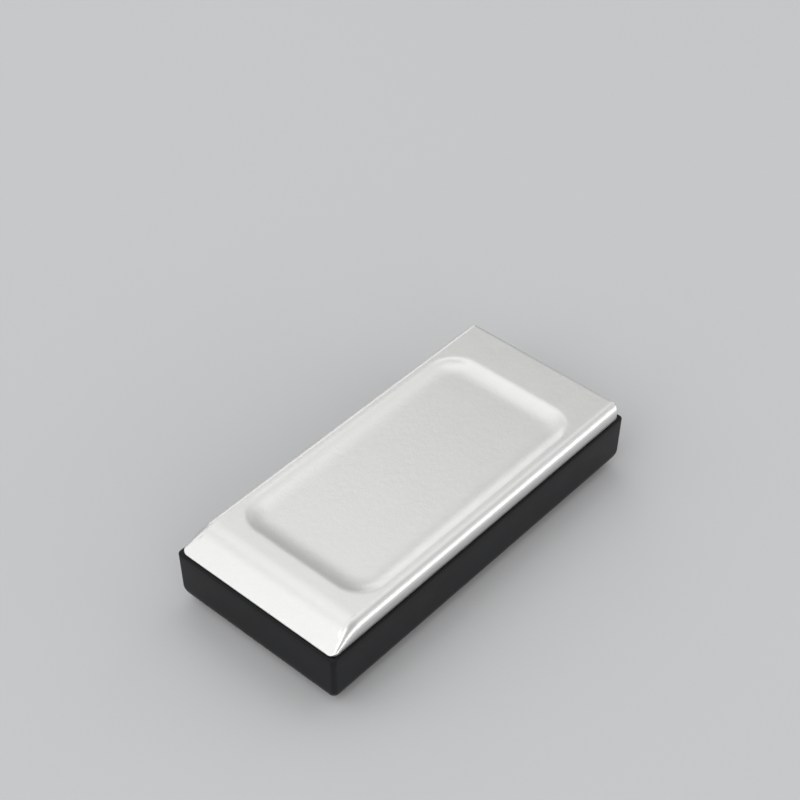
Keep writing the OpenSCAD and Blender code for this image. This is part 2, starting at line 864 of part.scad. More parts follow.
// Clear rod through the end wall, with a foot that takes in the lamp's light.
module light_guide() {
    foot_l = led_l + 2 * guide_gap;
    color([0.85, 0.9, 0.95]) {
        translate([led_x, light_y, port_z])
            rotate([0, 90, 0])
                cylinder(d = guide_d, h = guide_end_x - led_x);
        block(led_x, light_y, foot_l, guide_d, port_z - guide_d / 2, board_z - led_h);
    }
}

module thermal_pad() {
    color([0.45, 0.6, 0.75])
        block(pad_x, 0, pad_l, pad_w, chip_top, pad_top);
}

module screw_inserts() {
    color([0.8, 0.66, 0.3])
    for (p = screw_places)
        translate([p[0], p[1], board_z - insert_l])
            difference() {
                cylinder(d = insert_d, h = insert_l);
                translate([0, 0, -cut])
                    cylinder(d = screw_d, h = insert_l + 2 * cut);
            }
}

module board_screws() {
    color([0.6, 0.6, 0.62])
    for (p = screw_places)
        translate([p[0], p[1], board_top])
            difference() {
                union() {
                    translate([0, 0, -screw_l])
                        cylinder(d = screw_d, h = screw_l);
                    cylinder(d = head_d, h = head_h);
                }
                for (a = [0, 90])
                    rotate([0, 0, a])
                        block(0, 0, cross_l, cross_w, head_h - cross_depth, head_h + cut);
            }
}

bottom_case();
top_cover();
seam_tape();
circuit_board();
port_shell();
port_tongue();
port_mid_plate();
port_contacts();
flash_controller();
flash_memory_1();
flash_memory_2();
flash_memory_3();
flash_memory_4();
power_converter();
power_inductor_1();
power_inductor_2();
tantalum_capacitors();
voltage_regulator();
clock_crystal();
boot_memory();
surge_protectors();
ceramic_capacitors();
chip_resistors();
status_led();
light_guide();
thermal_pad();
screw_inserts();
board_screws();
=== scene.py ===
"""A portable solid state drive: a bead-blasted metal cover on a black plastic case, with its port and board.

Lengths are in millimetres here and become metres where a mesh is made. X runs along the drive with the
port at +X, Z is up, and the origin is the middle of the underside.
"""

import logging
import math
from dataclasses import astuple, dataclass, field, replace
from enum import Enum
from functools import partial
from typing import Callable, Iterable, Sequence

import bmesh
import bpy
from mathutils import Matrix, Vector


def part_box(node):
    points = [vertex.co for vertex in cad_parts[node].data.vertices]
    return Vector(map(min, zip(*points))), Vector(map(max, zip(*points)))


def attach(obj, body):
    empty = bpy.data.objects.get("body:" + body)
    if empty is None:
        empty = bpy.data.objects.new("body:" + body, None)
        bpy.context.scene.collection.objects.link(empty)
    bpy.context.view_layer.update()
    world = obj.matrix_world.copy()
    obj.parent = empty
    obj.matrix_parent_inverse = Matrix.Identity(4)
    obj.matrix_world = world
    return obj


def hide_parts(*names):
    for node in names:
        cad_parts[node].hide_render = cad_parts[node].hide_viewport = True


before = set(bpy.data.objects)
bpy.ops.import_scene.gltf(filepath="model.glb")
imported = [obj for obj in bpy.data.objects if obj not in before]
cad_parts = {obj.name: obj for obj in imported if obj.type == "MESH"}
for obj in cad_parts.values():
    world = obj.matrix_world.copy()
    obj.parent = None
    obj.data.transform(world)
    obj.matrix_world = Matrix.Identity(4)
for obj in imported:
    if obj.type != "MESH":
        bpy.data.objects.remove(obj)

LOG = logging.getLogger("drive")
MM = 0.001
BODY = "root"
SHARP_DEG = 32.0
MERGE_DISTANCE = 0.0005

Pair = tuple[float, float]
Point = tuple[float, float, float]
Colour = tuple[float, float, float]
Box = tuple[Sequence[float], Sequence[float]]
Mesh = bpy.types.Mesh
Node = bpy.types.Node
Tree = bpy.types.NodeTree
Material = bpy.types.Material


# Places taken from the frame


def span(node: str) -> tuple[Vector, Vector]:
    """The lowest and highest corner of a solid of the frame, in millimetres."""
    low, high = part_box(node)
    return low / MM, high / MM


def port_z() -> float:
    """Height of the port's middle."""
    low, high = span("port_tongue")
    return (low.z + high.z) / 2


def fastener_y() -> float:
    """Distance of the screws from the drive's middle line."""
    low, high = span("board_screws")
    return high.y - (high.z - low.z - Fasteners.length) * Fasteners.head_ratio


# Meshes


def arc(cx: float, cy: float, r: float, first: float, sweep: float, n: int) -> list[Pair]:
    """Points along an arc.

    Args:
        cx: first coordinate of its centre.
        cy: second coordinate of its centre.
        r: its radius.
        first: angle of the first point, in degrees.
        sweep: angle from the first point to the last, in degrees.
        n: how many segments it has.

    Returns:
        One point more than segments.
    """
    turns = [math.radians(first + sweep * k / n) for k in range(n + 1)]
    return [(cx + r * math.cos(t), cy + r * math.sin(t)) for t in turns]


@dataclass(frozen=True)
class Steps:
    """How finely an outline is divided: per corner, per long side and per short side."""

    corner: int = 12
    long: int = 190
    short: int = 70


@dataclass(frozen=True)
class Outline:
    """A rectangle with rounded corners, seen from above, with its own radius at each end.

    Attributes:
        x0: end away from the port.
        x1: end at the port.
        half_w: half the width.
        r0: corner radius at x0.
        r1: corner radius at x1.
    """

    x0: float
    x1: float
    half_w: float
    r0: float
    r1: float

    def inset(self, d: float, d0: float | None = None) -> "Outline":
        """The same outline drawn in by d, and by d0 at the x0 end where that is given."""
        at_x0 = d if d0 is None else d0
        r0, r1 = max(self.r0 - max(d, at_x0), 0.0), max(self.r1 - d, 0.0)
        return Outline(self.x0 + at_x0, self.x1 - d, self.half_w - d, r0, r1)

    def towards(self, other: "Outline", share: float) -> "Outline":
        """The outline that lies a share of the way to another."""
        return Outline(*(a + (b - a) * share for a, b in zip(astuple(self), astuple(other))))

    def depth(self, x: float, y: float) -> float:
        """How far the point x, y lies inside the outline.

        Args:
            x: place along the drive.
            y: place across it.

        Returns:
            The distance to the outline, negative outside it.
        """
        middle = (self.x0 + self.x1) / 2
        r = self.r0 if x < middle else self.r1
        qx = abs(x - middle) - (self.x1 - self.x0) / 2 + r
        qy = abs(y) - self.half_w + r
        outside = math.hypot(max(qx, 0.0), max(qy, 0.0))
        return r - outside - min(max(qx, qy), 0.0)

    def points(self, steps: Steps) -> list[Pair]:
        """Points round the outline, anticlockwise from the x1 end of the -Y side.

        Args:
            steps: how finely each stretch is divided.

        Returns:
            As many points for every outline of the same steps.
        """
        x0, x1, w, r0, r1 = self.x0, self.x1, self.half_w, self.r0, self.r1
        corners = [(x1 - r1, r1 - w, r1), (x1 - r1, w - r1, r1), (x0 + r0, w - r0, r0), (x0 + r0, r0 - w, r0)]
        arcs = [arc(*corner, 90 * i - 90, 90, steps.corner) for i, corner in enumerate(corners)]
        made = []
        for i, bend in enumerate(arcs):
            (ax, ay), (bx, by) = bend[-1], arcs[(i + 1) % 4][0]
            n = steps.long if i % 2 else steps.short
            made += bend
            made += [(ax + (bx - ax) * k / n, ay + (by - ay) * k / n) for k in range(1, n)]
        return made


class Skin:
    """A closed skin, made of rings of points that each join the next."""

    def __init__(self, steps: Steps = Steps()) -> None:
        """Starts an empty skin, whose outlines are divided in steps."""
        self.steps = steps
        self.rings: list[list[Point]] = []

    def add(self, outline: Outline, height: float | Callable[[float, float], float]) -> None:
        """Adds a ring.

        Args:
            outline: its plan.
            height: its level, or a function that gives it for each point.
        """
        level = height if callable(height) else lambda x, y: height
        self.add_points((x, y, level(x, y)) for x, y in outline.points(self.steps))

    def add_points(self, points: Iterable[Point]) -> None:
        """Adds a ring of ready points."""
        self.rings.append(list(points))

    def mesh(self, name: str, tube: bool = False) -> Mesh:
        """Joins the rings, and closes both ends or, for a tube, joins the last ring to the first.

        Args:
            name: the mesh's name.
            tube: whether the skin goes out along one side of a wall and back along the other.

        Returns:
            The mesh, in metres.
        """
        bm = bmesh.new()
        rows = [[bm.verts.new(Vector(p) * MM) for p in ring] for ring in self.rings]
        for a, b in zip(rows, rows[1:] + rows[:1] if tube else rows[1:]):
            for i in range(len(a)):
                j = (i + 1) % len(a)
                bm.faces.new((a[i], a[j], b[j], b[i]))
        if not tube:
            for row in (rows[0], rows[-1]):
                bm.faces.new(row)
        return finished_mesh(bm, name)


def finished_mesh(bm: bmesh.types.BMesh, name: str) -> Mesh:
    """Merges doubles, turns the faces outwards, smooths them and keeps real edges sharp.

    Args:
        bm: the mesh being edited, which is freed.
        name: the new mesh's name.

    Returns:
        The mesh.
    """
    bmesh.ops.remove_doubles(bm, verts=bm.verts, dist=MERGE_DISTANCE * MM)
    bmesh.ops.dissolve_degenerate(bm, edges=bm.edges, dist=MERGE_DISTANCE * MM)
    bmesh.ops.recalc_face_normals(bm, faces=bm.faces)
    for face in bm.faces:
        face.smooth = True
    for edge in bm.edges:
        edge.smooth = edge.calc_face_angle(0.0) < math.radians(SHARP_DEG)
    mesh = bpy.data.meshes.new(name)
    bm.to_mesh(mesh)
    bm.free()
    return mesh


def box_mesh(boxes: Iterable[Box], bevel: float, name: str) -> Mesh:
    """One mesh out of boxes with rounded edges.

    Args:
        boxes: the lowest and the highest corner of each.
        bevel: radius of their edges.
        name: the mesh's name.

    Returns:
        The mesh.
    """
    bm = bmesh.new()
    for low, high in ((Vector(a), Vector(b)) for a, b in boxes):
        place = Matrix.Translation((high + low) / 2 * MM) @ Matrix.Diagonal((*((high - low) * MM), 1.0))
        made = bmesh.ops.create_cube(bm, size=1.0, matrix=place)["verts"]
        if bevel > 0:
            edges = list({e for v in made for e in v.link_edges})
            bmesh.ops.bevel(bm, geom=edges, offset=bevel * MM, segments=3, profile=0.5, affect="EDGES")
    return finished_mesh(bm, name)


def centred_box(l: float, w: float, z0: float, z1: float) -> Box:
    """Both corners of a box that stands on the origin's axis."""
    return (-l / 2, -w / 2, z0), (l / 2, w / 2, z1)


def turned(
    profile: Sequence[Pair], name: str, sides: int = 40, place: Matrix = Matrix.Identity(4)
) -> Mesh:
    """A turned part.

    Args:
        profile: radius and height of each ring from the bottom up, both ends on the axis.
        name: the mesh's name.
        sides: faces round it.
        place: where the origin and its axis go, in millimetres.

    Returns:
        The mesh.
    """
    bm = bmesh.new()
    scaled = Matrix.Scale(MM, 4) @ place
    turns = [2 * math.pi * k / sides for k in range(sides)]
    rows = []
    for r, z in profile:
        ring = [(r * math.cos(t), r * math.sin(t), z) for t in turns] if r > 0 else [(0, 0, z)]
        rows.append([bm.verts.new(scaled @ Vector(p)) for p in ring])
    for a, b in zip(rows, rows[1:]):
        for i in range(sides):
            j = (i + 1) % sides
            corners = dict.fromkeys((a[i % len(a)], a[j % len(a)], b[j % len(b)], b[i % len(b)]))
            if len(corners) > 2:
                bm.faces.new(tuple(corners))
    return finished_mesh(bm, name)


def tube_of(profile: Sequence[Pair], name: str, sides: int = 40) -> Mesh:
    """A turned part with a bore right through it.

    Args:
        profile: radius and height of each ring, up the outside and down the bore.
        name: the mesh's name.
        sides: faces round it.

    Returns:
        The mesh.
    """
    skin = Skin()
    turns = [2 * math.pi * k / sides for k in range(sides)]
    for r, z in profile:
        skin.add_points((r * math.cos(t), r * math.sin(t), z) for t in turns)
    return skin.mesh(name, tube=True)


def oval_ring(half_w: float, half_h: float, x: float, steps: int = 16) -> list[Point]:
    """Points round a flat-sided oval that stands across the drive at the port's height.

    Args:
        half_w: half its width.
        half_h: half its height, which is also the radius of its ends.
        x: where it stands along the drive.
        steps: segments in each round end.

    Returns:
        The points.
    """
    flat, z = half_w - half_h, port_z()
    ends = arc(flat, z, half_h, -90, 180, steps) + arc(-flat, z, half_h, 90, 180, steps)
    return [(x, y, z) for y, z in ends]


def oval_bar(half_w: float, half_h: float, x0: float, x1: float) -> Mesh:
    """A closed bar of oval section along the drive, at the port's height."""
    skin = Skin()
    for x in (x0, x1):
        skin.add_points(oval_ring(half_w, half_h, x))
    return skin.mesh("oval_bar")


def joined(meshes: Iterable[Mesh], name: str) -> Mesh:
    """One mesh out of several."""
    bm = bmesh.new()
    for mesh in meshes:
        bm.from_mesh(mesh)
    made = bpy.data.meshes.new(name)
    bm.to_mesh(made)
    bm.free()
    return made


def linked(name: str, data: bpy.types.ID) -> bpy.types.Object:
    """A new object in the scene."""
    made = bpy.data.objects.new(name, data)
    bpy.context.scene.collection.objects.link(made)
    return made


def taken(holder: bpy.types.Object, helpers: Sequence[bpy.types.Object]) -> Mesh:
    """The mesh that an object's modifiers make. The object and its helpers are then removed.

    Args:
        holder: the object with the modifiers.
        helpers: the objects that they use.

    Returns:
        The mesh.
    """
    bpy.context.view_layer.update()
    graph = bpy.context.evaluated_depsgraph_get()
    made = bpy.data.meshes.new_from_object(holder.evaluated_get(graph))
    holder.modifiers.clear()
    for helper in (holder, *helpers):
        bpy.data.objects.remove(helper)
    return made


def cut_out(mesh: Mesh, cutters: Iterable[Mesh]) -> Mesh:
    """Cuts closed shapes out of a closed mesh.

    Args:
        mesh: the mesh to cut.
        cutters: what is taken away.

    Returns:
        The cut mesh.
    """
    piece = linked("cut_piece", mesh)
    helpers = []
    for i, cutter in enumerate(cutters):
        helpers.append(linked(f"cutter_{i}", cutter))
        modifier = piece.modifiers.new(f"cut_{i}", "BOOLEAN")
        modifier.operation = "DIFFERENCE"
        modifier.solver = "EXACT"
        modifier.object = helpers[-1]
    bm = bmesh.new()
    bm.from_mesh(taken(piece, helpers))
    return finished_mesh(bm, "cut_mesh")


# Node trees


def feed(tree: Tree, node: Node, inputs: dict[str | int, object]) -> None:
    """Sets or links inputs of a node.

    Args:
        tree: the tree that holds it.
        node: the node.
        inputs: for each input a value, the socket that feeds it, or a node whose first output does.
    """
    for key, value in inputs.items():
        source = value.outputs[0] if isinstance(value, Node) else value
        if isinstance(source, bpy.types.NodeSocket):
            tree.links.new(source, node.inputs[key])
        else:
            node.inputs[key].default_value = source


def add_node(
    tree: Tree, kind: str, inputs: dict[str | int, object] | None = None, **settings: object
) -> Node:
    """Adds a node to a tree.

    Args:
        tree: the tree.
        kind: the node's type.
        inputs: what its inputs get, as for feed.
        **settings: its own properties.

    Returns:
        The node.
    """
    made = tree.nodes.new(kind)
    for name, value in settings.items():
        setattr(made, name, value)
    feed(tree, made, inputs or {})
    return made


class Rows:
    """Geometry Nodes that repeat one template in rows and give every copy its material."""

    INPUTS = {
        "Template": "NodeSocketObject",
        "Count X": "NodeSocketInt",
        "Count Y": "NodeSocketInt",
        "Pitch X": "NodeSocketFloat",
        "Pitch Y": "NodeSocketFloat",
        "Start": "NodeSocketVector",
        "Turn": "NodeSocketVector",
        "Material": "NodeSocketMaterial",
    }

    def __init__(self) -> None:
        """Builds the node tree once."""
        self.tree = bpy.data.node_groups.new("rows_of_parts", "GeometryNodeTree")
        new_socket = self.tree.interface.new_socket
        new_socket("Geometry", in_out="INPUT", socket_type="NodeSocketGeometry")
        self.sockets = {
            name: new_socket(name, in_out="INPUT", socket_type=kind).identifier
            for name, kind in self.INPUTS.items()
        }
        new_socket("Geometry", in_out="OUTPUT", socket_type="NodeSocketGeometry")
        self._wire()

    def _wire(self) -> None:
        """Joins the nodes: a line of points, a second line on each of them, and the template on those."""
        add = partial(add_node, self.tree)
        given = add("NodeGroupInput").outputs
        lines = []
        for axis, start in (("X", {"Start Location": given["Start"]}), ("Y", {})):
            offset = add("ShaderNodeCombineXYZ", {axis: given[f"Pitch {axis}"]})
            inputs = {"Count": given[f"Count {axis}"], "Offset": offset, **start}
            lines.append(add("GeometryNodeMeshLine", inputs, mode="OFFSET"))
        grid = add("GeometryNodeInstanceOnPoints", {"Points": lines[0], "Instance": lines[1]})
        flat = add("GeometryNodeRealizeInstances", {"Geometry": grid})
        template = add("GeometryNodeObjectInfo", {"Object": given["Template"]}).outputs["Geometry"]
        inputs = {"Points": flat, "Instance": template, "Rotation": given["Turn"]}
        copies = add("GeometryNodeInstanceOnPoints", inputs)
        real = add("GeometryNodeRealizeInstances", {"Geometry": copies})
        finish = add("GeometryNodeSetMaterial", {"Geometry": real, "Material": given["Material"]})
        add("NodeGroupOutput", {"Geometry": finish})

    def mesh(
        self,
        template: Mesh,
        start: Sequence[float],
        counts: tuple[int, int],
        pitches: Pair,
        material: Material,
        turn: Point = (0.0, 0.0, 0.0),
    ) -> Mesh:
        """Repeats a template in rows.

        Args:
            template: the mesh that is repeated, in metres, at the origin.
            start: place of the first copy.
            counts: copies along X and along Y.
            pitches: distances along X and along Y.
            material: the copies' finish.
            turn: rotation of each copy, in radians.

        Returns:
            One plain mesh.
        """
        source, holder = linked("template", template), linked("rows", bpy.data.meshes.new("rows"))
        modifier = holder.modifiers.new("rows", "NODES")
        modifier.node_group = self.tree
        place = tuple(v * MM for v in start)
        values = {"Template": source, "Start": place, "Turn": turn, "Material": material}
        for axis, count, pitch in zip("XY", counts, pitches):
            values |= {f"Count {axis}": count, f"Pitch {axis}": pitch * MM}
        for name, value in values.items():
            modifier[self.sockets[name]] = value
        return taken(holder, [source])


# Finishes


class Effects:
    """Shader node groups that several finishes share.

    Attributes:
        COARSE_SCALE: scale of the coarse grain, as a share of the fine grain's.
    """

    COARSE_SCALE = 0.31

    def __init__(self) -> None:
        """Builds the groups once."""
        self.grain = self._grain()
        self.mottle = self._mottle()

    @staticmethod
    def _group(name: str, inputs: dict[str, float], output: str) -> Tree:
        """An empty group with number inputs and one number output."""
        tree = bpy.data.node_groups.new(name, "ShaderNodeTree")
        new_socket = partial(tree.interface.new_socket, socket_type="NodeSocketFloat")
        for label, value in inputs.items():
            new_socket(label, in_out="INPUT").default_value = value
        new_socket(output, in_out="OUTPUT")
        return tree

    def _grain(self) -> Tree:
        """Fine pits and peaks in two sizes, for blasted metal and moulded plastic."""
        tree = self._group("fine_grain", {"Scale": 6000.0, "Coarse Share": 0.35}, "Height")
        add = partial(add_node, tree)
        given = add("NodeGroupInput").outputs
        place = add("ShaderNodeTexCoord").outputs["Object"]
        scale = add("ShaderNodeMath", {0: given["Scale"], 1: self.COARSE_SCALE}, operation="MULTIPLY")
        fine = add("ShaderNodeTexNoise", {"Vector": place, "Scale": given["Scale"], "Detail": 2.0})
        coarse = add("ShaderNodeTexNoise", {"Vector": place, "Scale": scale, "Detail": 1.0})
        blend = add("ShaderNodeMix", {"Factor": given["Coarse Share"], "A": fine, "B": coarse})
        add("NodeGroupOutput", {"Height": blend})
        return tree

    def _mottle(self) -> Tree:
        """A soft, cloudy value that is centred on one, for tones and roughness that vary a little."""
        tree = self._group("soft_mottle", {"Scale": 120.0, "Amount": 0.04}, "Value")
        add = partial(add_node, tree)
        given = add("NodeGroupInput").outputs
        place = add("ShaderNodeTexCoord").outputs["Object"]
        cloud = add("ShaderNodeTexNoise", {"Vector": place, "Scale": given["Scale"], "Detail": 3.0})
        centred = add("ShaderNodeMath", {0: cloud, 1: 0.5}, operation="SUBTRACT")
        value = add("ShaderNodeMath", {0: centred, 1: given["Amount"], 2: 1.0}, operation="MULTIPLY_ADD")
        add("NodeGroupOutput", {"Value": value})
        return tree


@dataclass(frozen=True)
class Finish:
    """A surface with a base colour, a roughness and a fine relief.

    Attributes:
        name: the material's name.
        colour: base colour.
        roughness: mean roughness.
        metallic: 1 for metal, 0 for the rest.
        specular: specular level of what isn't metal.
        grain_scale: grains in a metre.
        grain_depth: height of the relief, in millimetres.
        coarse_share: share of the coarser grain.
        tone_scale: clouds in a metre of the varying tone.
        tone_amount: how much the tone varies.
        rough_scale: scale of the clouds that vary the roughness, as a multiple of the tone's.
        rough_amount: how much the roughness varies.
        coat: weight of a clear coat.
    """

    name: str
    colour: Colour
    roughness: float
    metallic: float = 0.0
    specular: float = 0.5
    grain_scale: float = 6000.0
    grain_depth: float = 0.004
    coarse_share: float = 0.35
    tone_scale: float = 120.0
    tone_amount: float = 0.06
    rough_scale: float = 2.7
    rough_amount: float = 0.2
    coat: float = 0.0

    def material(self, effects: Effects) -> Material:
        """The finish as a node material: a varying tone, a varying roughness and a fine relief.

        Args:
            effects: the shared node groups.

        Returns:
            The material.
        """
        made = bpy.data.materials.new(self.name)
        made.use_nodes = True
        tree = made.node_tree
        add = partial(add_node, tree)
        group = "ShaderNodeGroup"
        inputs = {"Scale": self.tone_scale, "Amount": self.tone_amount}
        cloud = add(group, inputs, node_tree=effects.mottle)
        inputs = {"Scale": self.tone_scale * self.rough_scale, "Amount": self.rough_amount}
        patch = add(group, inputs, node_tree=effects.mottle)
        inputs = {"Scale": self.grain_scale, "Coarse Share": self.coarse_share}
        grain = add(group, inputs, node_tree=effects.grain)
        inputs = {"Height": grain, "Distance": self.grain_depth * MM, "Strength": 1.0}
        feed(tree, tree.nodes["Principled BSDF"], {
            "Base Color": add("ShaderNodeVectorMath", {0: self.colour, "Scale": cloud}, operation="SCALE"),
            "Roughness": add("ShaderNodeMath", {0: patch, 1: self.roughness}, operation="MULTIPLY"),
            "Normal": add("ShaderNodeBump", inputs),
            "Metallic": self.metallic,
            "Specular IOR Level": self.specular,
            "Coat Weight": self.coat,
        })
        return made


@dataclass(frozen=True)
class ClearFinish(Finish):
    """A clear moulded plastic that light goes through.

    Attributes:
        ior: index of refraction.
    """

    ior: float = 1.49

    def material(self, effects: Effects) -> Material:
        """The finish as a node material, with full transmission."""
        made = super().material(effects)
        shader = made.node_tree.nodes["Principled BSDF"]
        feed(made.node_tree, shader, {"Transmission Weight": 1.0, "IOR": self.ior})
        return made


class Finishes(Enum):
    """Every finish on the drive."""

    BLASTED_METAL = Finish(
        "blasted_aluminium", (0.78, 0.78, 0.77), 0.36, 1.0,
        grain_scale=3200, grain_depth=0.03, coarse_share=0.5, tone_amount=0.03,
    )
    CASE_PLASTIC = Finish(
        "moulded_black", (0.006, 0.0064, 0.0072), 0.42, specular=0.18, grain_scale=5000, grain_depth=0.003
    )
    TAPE = Finish("bonding_tape", (0.012, 0.012, 0.012), 0.75, grain_scale=3000)
    LAMINATE = Finish("solder_mask", (0.012, 0.085, 0.045), 0.32, grain_scale=2600, coat=0.4)
    PORT_STEEL = Finish("port_steel", (0.62, 0.62, 0.63), 0.27, 1.0, grain_scale=5000, grain_depth=0.001)
    PORT_PLASTIC = Finish("port_plastic", (0.012, 0.012, 0.012), 0.5, grain_scale=8000, grain_depth=0.001)
    GOLD = Finish("contact_gold", (0.86, 0.62, 0.24), 0.22, 1.0, grain_scale=9000, grain_depth=0.0006)
    CHIP = Finish("chip_moulding", (0.022, 0.022, 0.024), 0.55, grain_scale=9000, grain_depth=0.003)
    MEMORY = Finish("memory_moulding", (0.028, 0.028, 0.031), 0.6, grain_scale=9000, grain_depth=0.003)
    FERRITE = Finish("ferrite", (0.085, 0.085, 0.09), 0.5, grain_scale=6000, grain_depth=0.004)
    TANTALUM = Finish("tantalum_resin", (0.58, 0.34, 0.05), 0.4, grain_scale=7000, grain_depth=0.001)
    TIN = Finish("plated_tin", (0.75, 0.75, 0.74), 0.35, 1.0, grain_scale=7000, grain_depth=0.001)
    CAPACITOR = Finish("capacitor_ceramic", (0.38, 0.25, 0.14), 0.45, grain_scale=9000, grain_depth=0.001)
    RESISTOR = Finish("resistor_glaze", (0.015, 0.015, 0.017), 0.2, grain_scale=9000, grain_depth=0.0005)
    LAMP = Finish("lamp_lens", (0.82, 0.80, 0.70), 0.25, grain_scale=5000, grain_depth=0.0005)
    PAD = Finish("thermal_silicone", (0.26, 0.33, 0.48), 0.7, grain_scale=2500, grain_depth=0.006)
    BRASS = Finish("insert_brass", (0.80, 0.58, 0.24), 0.3, 1.0, grain_scale=6000, grain_depth=0.001)
    SCREW = Finish("zinc_plate", (0.60, 0.61, 0.63), 0.3, 1.0, grain_scale=6000, grain_depth=0.001)
    GUIDE = ClearFinish("clear_guide", (0.93, 0.95, 0.96), 0.12, grain_scale=4000, grain_depth=0.0004)


class Workshop:
    """Hands out materials and rows of parts, and puts finished pieces into the scene."""

    def __init__(self) -> None:
        """Starts with the shared node trees and no material."""
        self.rows = Rows()
        self.effects = Effects()
        self.made: dict[Finishes, Material] = {}

    def material(self, finish: Finishes) -> Material:
        """The material of a finish, which is made only once."""
        if finish not in self.made:
            self.made[finish] = finish.value.material(self.effects)
        return self.made[finish]

    def place(self, name: str, mesh: Mesh, finish: Finishes, slot: str, node: str | None = None) -> None:
        """Puts a mesh into the scene with one material, on the drive's only body.

        Args:
            name: the piece's name.
            mesh: its mesh.
            finish: its finish.
            slot: a name for its material slot; it is not used.
            node: the solid of the frame that it replaces, if any.
        """
        piece = linked(name, mesh)
        mesh.materials.clear()
        mesh.materials.append(self.material(finish))
        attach(piece, BODY)
        if node:
            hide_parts(node)
        LOG.info("%s: %d faces", name, len(mesh.polygons))

    def dress(self, node: str, finish: Finishes) -> None:
        """Gives a solid of the frame its finish.

        Args:
            node: the solid's name.
            finish: its finish.
        """
        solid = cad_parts[node]
        solid.data.materials.clear()
        solid.data.materials.append(self.material(finish))
        LOG.info("%s: keeps its solid", node)

    def four_up(self, template: Mesh, z: float, finish: Finishes) -> Mesh:
        """Copies a part to the four places of the screws.

        Args:
            template: the part, on the origin's axis.
            z: height of its origin.
            finish: its finish.

        Returns:
            One mesh.
        """
        low, high = span("board_screws")
        y = fastener_y()
        x0, x1 = low.x + high.y - y, high.x - high.y + y
        return self.rows.mesh(template, (x0, -y, z), (2, 2), (x1 - x0, 2 * y), self.material(finish))


# The casing


